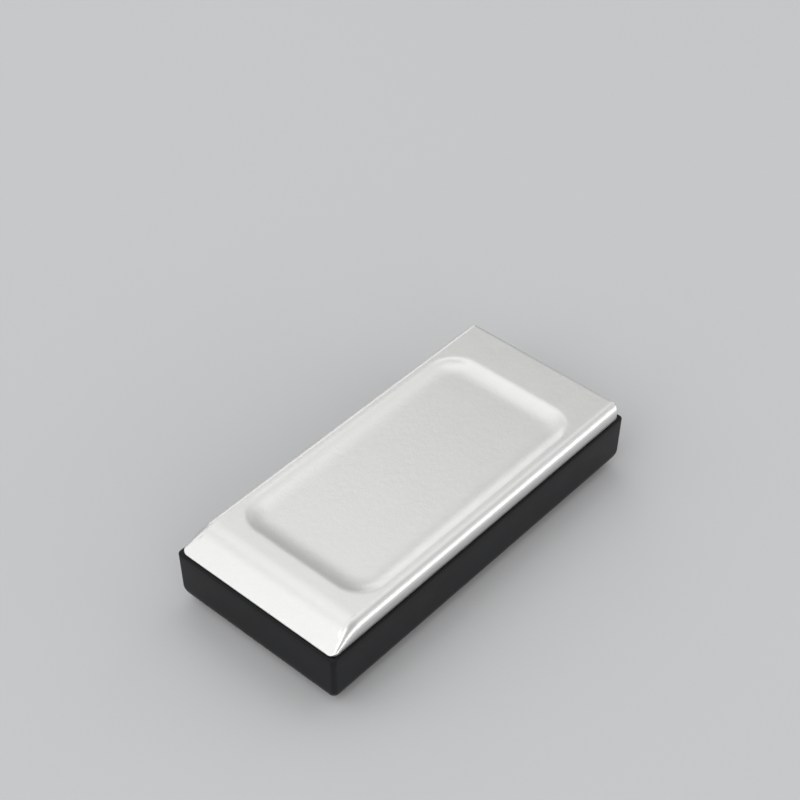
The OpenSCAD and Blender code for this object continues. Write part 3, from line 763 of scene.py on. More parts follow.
@dataclass
class TopCover:
    """The metal cover: a dished top, one sloping end and rounded long edges.

    Attributes:
        corner_r: radius of its plan corners.
        fillet_r: radius of its long top edges.
        end_fillet_r: radius of the top edge over the port.
        edge_r: small rounding at the foot of the slope.
        slope: angle of the sloping end.
        foot_h: upright edge left at the slope's foot.
        bend_r: radius of the bend over the slope.
        wall: thickness of the metal.
        dish_l: length of the dish.
        dish_w: width of the dish.
        dish_r: radius of the dish's corners.
        dish_shift: how far the dish lies towards the port.
        dish_depth: its depth.
        lip_w: width of the rounded lip.
        sweep_w: width of the sweep from the lip to the floor.
        sweep_fade: how fast the sweep flattens, where 1 is an arc.
        lower_break: chamfer along the lower edge.
        pedestal_margin: how far the pedestal stands out past the thermal pad.
        pedestal_r: radius of its corners.
        tab_l: length of each locating tab.
        tab_t: thickness of the tabs.
        tab_pitch: distance between the tabs along a side.
        end_tab_y: distance of the end tabs from the middle.
        tab_gap: gap between the tabs and the case.
        tab_bevel: rounding of the tabs' edges.
        case_wall: thickness of the case's walls, which the tabs lie behind.
        steps: how finely its outlines are divided.
    """

    corner_r: float = 1.2
    fillet_r: float = 1.6
    end_fillet_r: float = 1.0
    edge_r: float = 0.12
    slope: float = math.radians(31)
    foot_h: float = 0.2
    bend_r: float = 6.0
    wall: float = 0.9
    dish_l: float = 52.3
    dish_w: float = 27.9
    dish_r: float = 5.6
    dish_shift: float = 0.35
    dish_depth: float = 0.7
    lip_w: float = 0.9
    sweep_w: float = 3.7
    sweep_fade: float = 1.7
    lower_break: float = 0.06
    pedestal_margin: float = 1.0
    pedestal_r: float = 2.0
    tab_l: float = 5.0
    tab_t: float = 0.8
    tab_pitch: float = 18.0
    end_tab_y: float = 9.5
    tab_gap: float = 0.14
    tab_bevel: float = 0.1
    case_wall: float = 1.6
    steps: Steps = field(default_factory=Steps)

    def __post_init__(self) -> None:
        """Takes the outer sizes from the frame."""
        low, high = span("top_cover")
        self.seam_z = span("seam_tape")[1].z
        self.top_z = high.z
        self.outer = Outline(low.x, high.x, high.y, self.corner_r, self.corner_r)
        rise = self.top_z - self.seam_z - self.foot_h
        self.bend_x = low.x + rise / math.tan(self.slope) + self.bend_r * math.tan(self.slope / 2)
        half = self.dish_l / 2
        x0, x1 = self.dish_shift - half, self.dish_shift + half
        self.dish = Outline(x0, x1, self.dish_w / 2, self.dish_r, self.dish_r)
        self.dish_wall_w = self.lip_w + self.sweep_w
        self.steepest = self.dish_depth / (self.lip_w / 2 + self.sweep_w / (self.sweep_fade + 1))

    def profile(self, x: float, inset: float) -> float:
        """Height of the form's middle section at x, drawn in by inset.

        Args:
            x: place along the drive.
            inset: distance inside the outer form, square to its surface.

        Returns:
            The height over the underside.
        """
        r = self.bend_r - inset
        if x >= self.bend_x:
            return self.top_z - inset
        if x >= self.bend_x - r * math.sin(self.slope):
            return self.top_z - self.bend_r + math.sqrt(r**2 - (x - self.bend_x) ** 2)
        foot_z = self.seam_z + self.foot_h
        return foot_z + (x - self.outer.x0) * math.tan(self.slope) - inset / math.cos(self.slope)

    @staticmethod
    def round_over(d: float, r: float) -> float:
        """How far a rounded edge of radius r has dropped at the distance d inside it."""
        if d >= r:
            return 0.0
        return r - math.sqrt(max(r**2 - (r - d) ** 2, 0.0))

    def height_left(self, x: float) -> float:
        """Share of the full height over the seam that the profile has at x."""
        return (self.profile(x, 0.0) - self.seam_z) / (self.top_z - self.seam_z)

    def drawn_out(self, x: float, y: float) -> float:
        """Place across the drive that a point of the rounded edges moves to as their radius shrinks."""
        from_side = self.outer.half_w - abs(y)
        if x >= self.bend_x or from_side > self.fillet_r:
            return y
        past_corner = min(max(x - self.outer.x0 - self.outer.r0, 0.0), 1.0)
        share = 1 + (self.height_left(x) - 1) * past_corner
        return math.copysign(self.outer.half_w - from_side * share, y)

    def edge_drop(self, x: float, y: float) -> float:
        """How far the rounded top edges lie below the profile at x, y.

        The long edges' radius shrinks down the slope, in step with the height that is left.
        """
        outer, r = self.outer, self.fillet_r
        from_side, from_end = outer.half_w - abs(y), outer.x1 - x
        if x < self.bend_x:
            return self.round_over(from_side, r * self.height_left(x))
        drop = max(self.round_over(from_side, r), self.round_over(from_end, self.end_fillet_r))
        if max(from_side, from_end) >= outer.r1:
            return drop
        turn = math.atan2(outer.r1 - from_side, outer.r1 - from_end) / (math.pi / 2)
        blended_r = self.end_fillet_r + (r - self.end_fillet_r) * turn
        return max(drop, self.round_over(outer.depth(x, y), blended_r))

    def dish_drop(self, x: float, y: float) -> float:
        """Depth of the dish at x, y."""
        e = self.dish.depth(x, y)
        if e <= 0:
            return 0.0
        if e < self.lip_w:
            return self.steepest * e**2 / (2 * self.lip_w)
        left = max(self.dish_wall_w - e, 0.0) / self.sweep_w
        power = self.sweep_fade + 1
        return self.dish_depth - self.steepest * self.sweep_w * left**power / power

    def outer_height(self, x: float, y: float) -> float:
        """Height of the outer surface at x, y."""
        z = self.profile(x, self.edge_drop(x, y)) - self.dish_drop(x, y)
        if x > self.bend_x:
            return z
        reach = self.outer.x0 + self.corner_r - x
        side = abs(y) - self.outer.half_w + self.corner_r
        if reach <= 0:
            return z
        facing = reach / math.hypot(reach, max(side, 0.0))
        return z - facing * self.round_over(self.outer.depth(x, y), self.edge_r)

    def inner_height(self, x: float, y: float) -> float:
        """Height of the ceiling inside the cover at x, y."""
        return self.profile(x, self.wall) - self.dish_drop(x, y)

    def top_rings(self, skin: Skin) -> None:
        """Rings over the top, from the middle of the dish out to the long edges' fillets."""
        floor = self.dish.inset(self.dish_wall_w)
        rings_in_floor, rings_in_wall, rings_in_fillet = 6, 18, 16
        for k in range(rings_in_floor):
            skin.add(floor.inset((1 - k / rings_in_floor) * floor.half_w), self.outer_height)
        for k in range(rings_in_wall):
            skin.add(self.dish.inset(self.dish_wall_w * (1 - k / rings_in_wall)), self.outer_height)
        edge = self.outer.inset(self.fillet_r)
        for share, x0 in self.land_places(edge.x0):
            skin.add(replace(self.dish.towards(edge, share), x0=x0), self.outer_height)
        for k in range(rings_in_fillet + 1):
            ring = self.outer.inset(self.fillet_r * (1 - math.sin(math.radians(90 * k / rings_in_fillet))))
            moved = ((x, self.drawn_out(x, y)) for x, y in ring.points(self.steps))
            skin.add_points((x, y, self.outer_height(x, y)) for x, y in moved)

    def land_places(self, edge_x0: float) -> list[tuple[float, float]]:
        """Where the rings of the flat land pass the slope: their share of the way out, and their x.

        Args:
            edge_x0: where the outermost of them passes the slope.

        Returns:
            Share and x of each ring, from the dish outwards.
        """
        bend_end = self.bend_x - self.bend_r * math.sin(self.slope)
        stretches = [(self.dish.x0, self.bend_x, 5), (self.bend_x, bend_end, 9), (bend_end, edge_x0, 5)]
        xs = [a + (b - a) * k / n for a, b, n in stretches for k in range(n)]
        return [(k / len(xs), x) for k, x in enumerate(xs)]

    def skirt_rings(self, skin: Skin) -> None:
        """Rings down the outer wall and under the lower edge."""
        rings_in_wall = 4
        foot = self.seam_z + self.lower_break
        for k in range(1, rings_in_wall + 1):
            share = k / rings_in_wall
            skin.add(self.outer, lambda x, y: self.outer_height(x, y) * (1 - share) + foot * share)
        skin.add(self.outer.inset(self.lower_break), self.seam_z)

    def inner_rings(self, skin: Skin) -> None:
        """Rings up the inner wall, over the ceiling and down to the pedestal's face."""
        ramp_x0 = (self.wall / math.cos(self.slope) - self.foot_h) / math.tan(self.slope)
        room = self.outer.inset(self.wall, ramp_x0)
        skin.add(room, self.seam_z)
        low, high = span("thermal_pad")
        m, r = self.pedestal_margin, self.pedestal_r
        pedestal = Outline(low.x - m, high.x + m, high.y + m, r, r)
        rings = 12
        for k in range(rings + 1):
            skin.add(room.towards(self.dish, k / rings), self.inner_height)
        for k in range(1, rings + 1):
            skin.add(self.dish.towards(pedestal, k / rings), self.inner_height)
        skin.add(pedestal, high.z)

    def tabs(self) -> Mesh:
        """The tabs along the sides and at the ends that locate the cover in the case."""
        case_l, case_w = (v - self.case_wall for v in span("bottom_case")[1].xy)
        side_y, end_x = case_w - self.tab_gap, case_l - self.tab_gap
        z0, z1, t, half = span("top_cover")[0].z, self.seam_z + self.tab_t, self.tab_t, self.tab_l / 2
        boxes = []
        for s in (-1, 1):
            ys = sorted((s * side_y, s * (side_y - t)))
            roots = sorted((s * (side_y - t), s * (self.outer.half_w - self.wall / 2)))
            for x in (-self.tab_pitch, 0, self.tab_pitch):
                boxes.append(((x - half, ys[0], z0), (x + half, ys[1], z1)))
                boxes.append(((x - half, roots[0], self.seam_z), (x + half, roots[1], z1)))
            y = s * self.end_tab_y
            boxes.append(((end_x - t, y - half, z0), (end_x, y + half, z1)))
            boxes.append(((end_x - t, y - half, self.seam_z), (self.outer.x1 - self.wall / 2, y + half, z1)))
            boxes.append(((-end_x, y - half, z0), (t - end_x, y + half, z1)))
        return box_mesh(boxes, self.tab_bevel, "tabs")

    def build(self, shop: Workshop) -> None:
        """Makes the cover.

        Args:
            shop: materials, rows and the scene.
        """
        skin = Skin(self.steps)
        self.top_rings(skin)
        self.skirt_rings(skin)
        self.inner_rings(skin)
        mesh = joined([skin.mesh("cover_skin"), self.tabs()], "blasted_cover")
        shop.place("blasted_cover", mesh, Finishes.BLASTED_METAL, "cover_aluminium", "top_cover")


@dataclass
class BottomCase:
    """The moulded case: a tub with rounded feet, a narrow rim, and openings for the port and the light.

    Attributes:
        corner_r: radius of its plan corners at the rim.
        corner_growth: how much that radius grows for each millimetre that the foot curves in.
        foot_r: radius between its walls and its underside.
        lean: how far each wall leans in from the rim down.
        rim_r: rounding of the rim's outer edge.
        wall: thickness of its walls.
        floor: thickness of its floor.
        inner_r: radius of its plan corners inside.
        inner_chamfer: chamfer between its walls and its floor inside.
        port_gap: gap round the port's shell.
        recess_w: width of the shallow recess round the port.
        recess_depth: depth of that recess.
        guide_gap: gap round the light guide.
        boss_r: radius of the bosses.
        rib_t: thickness of the ribs under the port.
        rib_y: distance of those ribs from the middle.
        rib_reach: how far they reach back under the contacts.
        rib_bevel: rounding of the ribs' edges.
        root: how deep the bosses and ribs are rooted in the floor.
        drill_r: radius of the drilled hole under an insert.
        drill_l: its length.
        boss_edge: chamfer at the top of a boss.
        steps: how finely its outlines are divided.
    """

    corner_r: float = 0.8
    corner_growth: float = 0.2
    foot_r: float = 3.4
    lean: float = 0.2
    rim_r: float = 0.2
    wall: float = 1.6
    floor: float = 1.2
    inner_r: float = 1.6
    inner_chamfer: float = 1.2
    port_gap: float = 0.15
    recess_w: float = 0.75
    recess_depth: float = 0.3
    guide_gap: float = 0.05
    boss_r: float = 2.2
    rib_t: float = 1.0
    rib_y: float = 2.9
    rib_reach: float = 3.6
    rib_bevel: float = 0.08
    root: float = 0.3
    drill_r: float = 0.95
    drill_l: float = 1.0
    boss_edge: float = 0.12
    steps: Steps = field(default_factory=lambda: Steps(corner=14, long=24, short=12))

    def __post_init__(self) -> None:
        """Takes the outer sizes from the frame."""
        high = span("bottom_case")[1]
        self.half_l, self.half_w, self.rim_z = high.x, high.y, high.z
        self.wide_z = self.rim_z - self.rim_r
        self.angle = math.atan(self.lean / self.wide_z)

    def ring(self, inset: float, r: float) -> Outline:
        """The outline that lies inset inside the widest one, with corners of radius r."""
        x = self.half_l - inset
        return Outline(-x, x, self.half_w - inset, r, r)

    def outer_rings(self, skin: Skin) -> None:
        """Rings from the underside round the foot, up the wall and over the rim's edge."""
        rings_in_foot, rings_in_wall, rings_in_rim = 20, 5, 6
        cos, sin = math.cos(self.angle), math.sin(self.angle)
        centre = self.lean + self.foot_r / cos - self.foot_r * sin / cos
        for k in range(rings_in_foot + 1):
            turn = (math.pi / 2 - self.angle) * k / rings_in_foot
            inset, z = centre - self.foot_r * math.sin(turn), self.foot_r * (1 - math.cos(turn))
            skin.add(self.ring(inset, self.corner_r + self.corner_growth * inset), z)
        foot_z = self.foot_r * (1 - sin)
        for k in range(1, rings_in_wall + 1):
            z = foot_z + (self.wide_z - foot_z) * k / rings_in_wall
            inset = (self.wide_z - z) * sin / cos
            skin.add(self.ring(inset, self.corner_r + self.corner_growth * inset), z)
        for k in range(1, rings_in_rim + 1):
            turn = math.pi / 2 * k / rings_in_rim
            inset = self.rim_r * (1 - math.cos(turn))
            skin.add(self.ring(inset, self.corner_r - inset), self.wide_z + self.rim_r * math.sin(turn))

    def shell(self) -> Mesh:
        """The tub without its openings."""
        skin = Skin(self.steps)
        self.outer_rings(skin)
        tan = math.tan(self.angle)
        knee_z = self.floor + self.inner_chamfer
        skin.add(self.ring(self.wall - self.rim_r * tan, self.inner_r), self.rim_z)
        knee = self.wall + (self.wide_z - knee_z) * tan
        skin.add(self.ring(knee, self.inner_r), knee_z)
        skin.add(self.ring(knee + self.inner_chamfer, self.inner_r - self.inner_chamfer), self.floor)
        return skin.mesh("case_shell")

    def bosses(self, shop: Workshop) -> Mesh:
        """The four bosses that carry the board on their inserts.

        Args:
            shop: materials, rows and the scene.

        Returns:
            Their mesh.
        """
        low, high = span("screw_inserts")
        top, bore, end = high.z, high.y - fastener_y(), low.z - self.drill_l
        profile = [
            (0, self.floor - self.root), (self.boss_r, self.floor - self.root),
            (self.boss_r, top - self.boss_edge), (self.boss_r - self.boss_edge, top), (bore, top),
            (bore, low.z), (self.drill_r, low.z), (self.drill_r, end), (0, end),
        ]
        return shop.four_up(turned(profile, "boss"), 0.0, Finishes.CASE_PLASTIC)

    def ribs(self) -> Mesh:
        """The ribs that carry the port from below."""
        x0, x1 = span("port_contacts")[1].x - self.rib_reach, self.half_l - self.wall
        y, t, z0, z1 = self.rib_y, self.rib_t / 2, self.floor - self.root, span("port_shell")[0].z
        boxes = [((x0, s * y - t, z0), (x1, s * y + t, z1)) for s in (-1, 1)]
        boxes.append(((x0, -y, z0), (x0 + 2 * t, y, z1)))
        return box_mesh(boxes, self.rib_bevel, "ribs")

    def cutters(self) -> list[Mesh]:
        """The shapes that open the end wall for the port and the light."""
        half_h, half_w = port_z() - span("port_shell")[0].z, span("port_shell")[1].y
        face_x = self.half_l - (self.wide_z - port_z()) * math.tan(self.angle)
        recess_x, out_x = face_x - self.recess_depth, self.half_l + 1.0
        inside_x = recess_x - self.wall
        guide_low, guide_high = span("light_guide")
        guide_r, length = (guide_high.y - guide_low.y) / 2 + self.guide_gap, out_x - inside_x
        place = Matrix.Translation((inside_x, (guide_low.y + guide_high.y) / 2, port_z()))
        profile = [(0, 0), (guide_r, 0), (guide_r, length), (0, length)]
        return [
            oval_bar(half_w + self.port_gap, half_h + self.port_gap, inside_x, out_x),
            oval_bar(half_w + self.recess_w, half_h + self.recess_w, recess_x, out_x),
            turned(profile, "light_hole", place=place @ Matrix.Rotation(math.pi / 2, 4, "Y")),
        ]

    def build(self, shop: Workshop) -> None:
        """Makes the case.

        Args:
            shop: materials, rows and the scene.
        """
        meshes = [cut_out(self.shell(), self.cutters()), self.bosses(shop), self.ribs()]
        mesh = joined(meshes, "moulded_case")
        shop.place("moulded_case", mesh, Finishes.CASE_PLASTIC, "case_plastic", "bottom_case")


@dataclass
class SeamTape:
    """The bonding tape between the cover and the case.

    Attributes:
        width: its width.
        corner_r: radius of its outer corners.
        steps: how finely its outlines are divided.
    """

    width: float = 0.65
    corner_r: float = 1.05
    steps: Steps = field(default_factory=lambda: Steps(corner=12, long=20, short=10))

    def build(self, shop: Workshop) -> None:
        """Makes the tape.

        Args:
            shop: materials, rows and the scene.
        """
        low, high = span("seam_tape")
        outer = Outline(low.x, high.x, high.y, self.corner_r, self.corner_r)
        inner = outer.inset(self.width)
        skin = Skin(self.steps)
        for outline, z in ((outer, low.z), (outer, high.z), (inner, high.z), (inner, low.z)):
            skin.add(outline, z)
        mesh = skin.mesh("bonding_tape", tube=True)
        shop.place("bonding_tape", mesh, Finishes.TAPE, "bonding_tape", "seam_tape")


# The board and what is soldered to it


class Side(Enum):
    """The face of the board that a part is soldered to."""

    TOP = 1
    UNDER = -1

    @property
    def turn(self) -> Point:
        """Rotation of a part on this face, in radians."""
        return (0.0 if self is Side.TOP else math.pi, 0.0, 0.0)


@dataclass(frozen=True)
class Chip:
    """A moulded chip on its carrier, with a corner mark.

    Attributes:
        node: the solid it stands for.
        slot: a name for its material slot, passed on to the workshop.
        finish: its finish.
        side: the face of the board it is on.
        carrier_h: height of the carrier.
        cap_inset: how far the cap stands in from the carrier.
        mark_r: radius of the corner mark.
        mark_depth: its depth.
        bevel: rounding of its edges.
    """

    node: str
    slot: str
    finish: Finishes
    side: Side = Side.TOP
    carrier_h: float = 0.3
    cap_inset: float = 0.1
    mark_r: float = 0.4
    mark_depth: float = 0.06
    bevel: float = 0.05

    def build(self, shop: Workshop) -> None:
        """Makes the chip.

        Args:
            shop: materials, rows and the scene.
        """
        low, high = span(self.node)
        up, d = self.side.value, self.cap_inset
        foot, top = (low.z, high.z) if up > 0 else (high.z, low.z)
        knee = foot + up * self.carrier_h
        carrier = ((low.x, low.y, min(foot, knee)), (high.x, high.y, max(foot, knee)))
        z0, z1 = sorted((knee - up * self.bevel, top))
        cap = ((low.x + d, low.y + d, z0), (high.x - d, high.y - d, z1))
        inset = d + self.mark_r * 2
        z0, z1 = sorted((top - up * self.mark_depth, top + up))
        profile = [(0, z0), (self.mark_r, z0), (self.mark_r, z1), (0, z1)]
        place = Matrix.Translation((low.x + inset, low.y + inset if up > 0 else high.y - inset, 0))
        marked = cut_out(box_mesh([cap], self.bevel, "cap"), [turned(profile, "mark", 32, place)])
        name = self.node + "_body"
        mesh = joined([box_mesh([carrier], self.bevel, "carrier"), marked], name)
        shop.place(name, mesh, self.finish, self.slot, self.node)


@dataclass(frozen=True)
class Block:
    """A plain part with rounded edges.

    Attributes:
        node: the solid it stands for.
        slot: a name for its material slot, passed on to the workshop.
        finish: its finish.
        bevel: rounding of its edges.
    """

    node: str
    slot: str
    finish: Finishes
    bevel: float = 0.08

    def build(self, shop: Workshop) -> None:
        """Makes the part, as a box with rounded edges."""
        name = self.node + "_body"
        shop.place(name, box_mesh([span(self.node)], self.bevel, name), self.finish, self.slot, self.node)


@dataclass(frozen=True)
class Line:
    """A block of rows on one face of the board.

    Attributes:
        start: place of the first part.
        counts: parts along the drive and across it.
        pitches: distances along the drive and across it.
        side: the face of the board.
    """

    start: Point
    counts: tuple[int, int]
    pitches: Pair
    side: Side = Side.TOP


@dataclass(frozen=True)
class CappedRow:
    """Small parts with a body between two plated ends, repeated in rows.

    Attributes:
        node: the solid they stand for.
        slot: a name for the bodies' material slot, passed on to the workshop.
        finish: finish of the bodies.
        size: width along the drive, length across it, and height.
        cap: share of the length that each plated end takes.
        bevel: rounding of the edges.
        shy: how far a body stands in from its ends.
    """

    node: str
    slot: str
    finish: Finishes
    size: Point
    cap: float = 0.25
    bevel: float = 0.04
    shy: float = 0.02

    def templates(self) -> tuple[Mesh, Mesh]:
        """One body and one pair of plated ends, standing on the origin."""
        (w, l, h), shy = self.size, self.shy
        end = l * self.cap
        body = box_mesh([centred_box(w - 2 * shy, l - end, shy, h - shy)], self.bevel, "body")
        starts = (-l / 2, l / 2 - end)
        ends = box_mesh([((-w / 2, y, 0), (w / 2, y + end, h)) for y in starts], self.bevel, "ends")
        return body, ends

    def build(self, shop: Workshop, lines: Sequence[Line]) -> None:
        """Makes the bodies and the plated ends.

        Args:
            shop: materials, rows and the scene.
            lines: where the parts stand.
        """
        body, ends = self.templates()
        for label, template, finish, node in (
            ("bodies", body, self.finish, self.node),
            ("ends", ends, Finishes.TIN, None),
        ):
            material = shop.material(finish)
            made = [
                shop.rows.mesh(template, line.start, line.counts, line.pitches, material, line.side.turn)
                for line in lines
            ]
            name = f"{self.node}_{label}"
            shop.place(name, joined(made, name), finish, self.slot, node)


@dataclass
class Board:
    """The circuit board with everything that is soldered to it.

    Attributes:
        small_n: small parts in a row.
        small_pitch: distance between them.
        row_gap: distance from the controller to the row of capacitors.
        small_w: width of a small part along the drive.
        small_l: its length across it.
        capacitor_h: height of a small capacitor.
        resistor_h: height of a resistor.
        tantalum_l: length of a tantalum capacitor.
        inductor_cut: cut at an inductor's corners.
        inductor_bevel: rounding of its edges.
        protector_w: width of a surge protector.
        protector_bevel: rounding of its edges.
        pad_r: radius of a test pad.
        pad_h: height of its plating over the board.
        pad_bevel: width of its sloping edge.
        pad_inset: distance of the first row of pads from the board's far end.
        pad_counts: pads along the drive and across it.
        pad_pitches: distances between them.
    """

    small_n: int = 5
    small_pitch: float = 1.5
    row_gap: float = 1.6
    small_w: float = 0.5
    small_l: float = 1.0
    capacitor_h: float = 0.5
    resistor_h: float = 0.35
    tantalum_l: float = 3.5
    inductor_cut: float = 0.5
    inductor_bevel: float = 0.12
    protector_w: float = 1.0
    protector_bevel: float = 0.06
    pad_r: float = 0.35
    pad_h: float = 0.03
    pad_bevel: float = 0.03
    pad_inset: float = 1.6
    pad_counts: tuple[int, int] = (2, 8)
    pad_pitches: Pair = (1.4, 1.0)

    @staticmethod
    def single_parts() -> list[Chip | Block]:
        """Every part that stands by itself, and the thermal pad on the chips."""
        memory, chip = ("memory_black", Finishes.MEMORY), ("chip_black", Finishes.CHIP)
        return [
            Chip("flash_memory_1", *memory),
            Chip("flash_memory_2", *memory),
            Chip("flash_memory_3", *memory, Side.UNDER),
            Chip("flash_memory_4", *memory, Side.UNDER),
            Chip("flash_controller", *chip),
            Chip("power_converter", *chip),
            Chip("boot_memory", *chip, Side.UNDER),
            Block("voltage_regulator", *chip, 0.06),
            Block("clock_crystal", "crystal_can", Finishes.TIN, 0.15),
            Block("thermal_pad", "pad_silicone", Finishes.PAD, 0.2),
        ]

    def pair(self, y: float, side: Side) -> Line:
        """Two rows of small parts beside the controller, at y and at -y.

        Args:
            y: their distance from the middle line.
            side: the face of the board.

        Returns:
            The rows.
        """
        low, high = span("flash_controller")
        x0 = (low.x + high.x) / 2 - self.small_pitch * (self.small_n - 1) / 2
        board_low, board_high = span("circuit_board")
        z = board_high.z if side is Side.TOP else board_low.z
        return Line((x0, -y, z), (self.small_n, 2), (self.small_pitch, 2 * y), side)

    def small_parts(self, shop: Workshop) -> None:
        """The rows of capacitors and resistors beside the controller, and the larger capacitors."""
        row = span("flash_controller")[1].y + self.row_gap
        outer = span("flash_memory_1")[1].y + self.row_gap
        plan = (self.small_w, self.small_l)
        capacitors = CappedRow(
            "ceramic_capacitors", "capacitor_ceramic", Finishes.CAPACITOR, (*plan, self.capacitor_h)
        )
        capacitors.build(shop, [self.pair(row, Side.TOP), self.pair(outer, Side.UNDER)])
        resistors = CappedRow("chip_resistors", "resistor_black", Finishes.RESISTOR, (*plan, self.resistor_h))
        resistors.build(shop, [self.pair(row + self.small_pitch, Side.TOP)])
        low, high = span("tantalum_capacitors")
        pitch = (high.y - low.y - self.tantalum_l) / 2
        size = (high.x - low.x, self.tantalum_l, high.z - low.z)
        large = CappedRow(
            "tantalum_capacitors", "tantalum_yellow", Finishes.TANTALUM, size, cap=0.14, bevel=0.12
        )
        large.build(shop, [Line(((low.x + high.x) / 2, -pitch, low.z), (1, 3), (0.0, pitch))])

    def inductors(self, shop: Workshop) -> None:
        """The two pressed inductors with their cut corners."""
        for k in (1, 2):
            low, high = span(f"power_inductor_{k}")
            x0, y0, x1, y1, cut = *low.xy, *high.xy, self.inductor_cut
            plan = [
                (x1, y1 - cut), (x1 - cut, y1), (x0 + cut, y1), (x0, y1 - cut),
                (x0, y0 + cut), (x0 + cut, y0), (x1 - cut, y0), (x1, y0 + cut),
            ]
            name = f"pressed_inductor_{k}"
            skin = Skin()
            for z in (low.z, high.z):
                skin.add_points((x, y, z) for x, y in plan)
            bm = bmesh.new()
            bm.from_mesh(skin.mesh(name))
            offset = self.inductor_bevel * MM
            bmesh.ops.bevel(bm, geom=bm.edges[:], offset=offset, segments=3, profile=0.5, affect="EDGES")
            mesh = finished_mesh(bm, name)
            shop.place(name, mesh, Finishes.FERRITE, "inductor_ferrite", f"power_inductor_{k}")

    def surge_protectors(self, shop: Workshop) -> None:
        """The three protectors behind the port."""
        low, high = span("surge_protectors")
        pitch = (high.y - low.y - self.protector_w) / 2
        body = centred_box(high.x - low.x, self.protector_w, low.z, high.z)
        template = box_mesh([body], self.protector_bevel, "protector")
        start = ((low.x + high.x) / 2, -pitch, 0.0)
        mesh = shop.rows.mesh(template, start, (1, 3), (0.0, pitch), shop.material(Finishes.CHIP))
        shop.place("surge_protector_bodies", mesh, Finishes.CHIP, "chip_black", "surge_protectors")

    def test_pads(self, shop: Workshop) -> None:
        """Gold test pads in two rows on the board's upper face, between the screws at the far end."""
        low, high = span("circuit_board")
        h, r = self.pad_h, self.pad_r
        pad = turned([(0, -h), (r, -h), (r, h * 0.6), (r - self.pad_bevel, h), (0, h)], "pad", 24)
        start = (low.x + self.pad_inset, -self.pad_pitches[1] * (self.pad_counts[1] - 1) / 2, high.z)
        gold = shop.material(Finishes.GOLD)
        mesh = shop.rows.mesh(pad, start, self.pad_counts, self.pad_pitches, gold)
        shop.place("test_pads", mesh, Finishes.GOLD, "contact_gold")

    def build(self, shop: Workshop) -> None:
        """Makes the board and all its parts.

        Args:
            shop: materials, rows and the scene.
        """
        shop.dress("circuit_board", Finishes.LAMINATE)
        for part in self.single_parts():
            part.build(shop)
        self.small_parts(shop)
        self.inductors(shop)
        self.surge_protectors(shop)
        self.test_pads(shop)


@dataclass
class Port:
    """The port: a drawn steel shell with soldered legs, a moulded tongue and its contacts.

    Attributes:
        wall: thickness of the shell.
        lip_r: rounding of its mouth.
        lip_steps: segments of each of its roundings.
        leg_l: length of each leg along the port.
        leg_xs: distance of the legs from the shell's back.
        tongue_t: thickness of the tongue.
        contact_l: length of a contact.
        contact_w: its width.
        contact_t: its thickness.
        contact_pitch: distance between contacts.
        contact_n: contacts on each face.
    """

    wall: float = 0.3
    lip_r: float = 0.12
    lip_steps: int = 6
    leg_l: float = 1.1
    leg_xs: tuple[float, float] = (2.2, 3.9)
    tongue_t: float = 0.7
    contact_l: float = 3.6
    contact_w: float = 0.26
    contact_t: float = 0.08
    contact_pitch: float = 0.5
    contact_n: int = 12

    def __post_init__(self) -> None:
        """Takes the outer sizes from the frame."""
        self.low, self.high = span("port_shell")
        self.z = port_z()

    def shell(self) -> Mesh:
        """The shell, with a rounded mouth, and its legs."""
        back, mouth, w, h = self.low.x, self.high.x, self.high.y, self.z - self.low.z
        middle, r, n = back + (mouth - back) / 2, self.lip_r, self.lip_steps
        lip = arc(self.wall - r, mouth - r, r, 90, -90, n) + arc(r, mouth - r, r, 90, 90, n)
        path = [(self.wall, back), (self.wall, middle), *lip, (0.0, middle), (0.0, back)]
        skin = Skin()
        for inset, x in path:
            skin.add_points(oval_ring(w - inset, h - inset, x, 24))
        legs = []
        for x in self.leg_xs:
            for s in (-1, 1):
                y0, y1 = sorted((s * w, s * (w - self.wall)))
                x0 = back + x - self.leg_l / 2
                legs.append(((x0, y0, self.z), (x0 + self.leg_l, y1, self.high.z)))
        return joined([skin.mesh("drawn_shell", tube=True), box_mesh(legs, 0.05, "legs")], "drawn_shell")

    def contacts(self, shop: Workshop) -> Mesh:
        """Both rows of contacts and their tails up to the board.

        Args:
            shop: materials, rows and the scene.

        Returns:
            Their mesh.
        """
        low, high = span("port_contacts")
        y0 = -self.contact_pitch * (self.contact_n - 1) / 2
        pad = box_mesh([centred_box(self.contact_l, self.contact_w, 0, self.contact_t)], 0.02, "pad")
        tail = box_mesh([centred_box(self.contact_w, self.contact_w, self.z, high.z)], 0.03, "tail")
        x, face = high.x - self.contact_l / 2, self.tongue_t / 2
        rows = [(pad, (x, y0, z)) for z in (self.z + face, self.z - face - self.contact_t)]
        rows.append((tail, (low.x + self.contact_w / 2, y0, 0)))
        counts, pitches, gold = (1, self.contact_n), (0.0, self.contact_pitch), shop.material(Finishes.GOLD)
        made = [shop.rows.mesh(template, start, counts, pitches, gold) for template, start in rows]
        return joined(made, "gold_contacts")

    def build(self, shop: Workshop) -> None:
        """Makes the port.

        Args:
            shop: materials, rows and the scene.
        """
        shop.place("drawn_shell", self.shell(), Finishes.PORT_STEEL, "port_steel", "port_shell")
        shop.place("gold_contacts", self.contacts(shop), Finishes.GOLD, "contact_gold", "port_contacts")
        shop.dress("port_tongue", Finishes.PORT_PLASTIC)
        shop.dress("port_mid_plate", Finishes.PORT_STEEL)


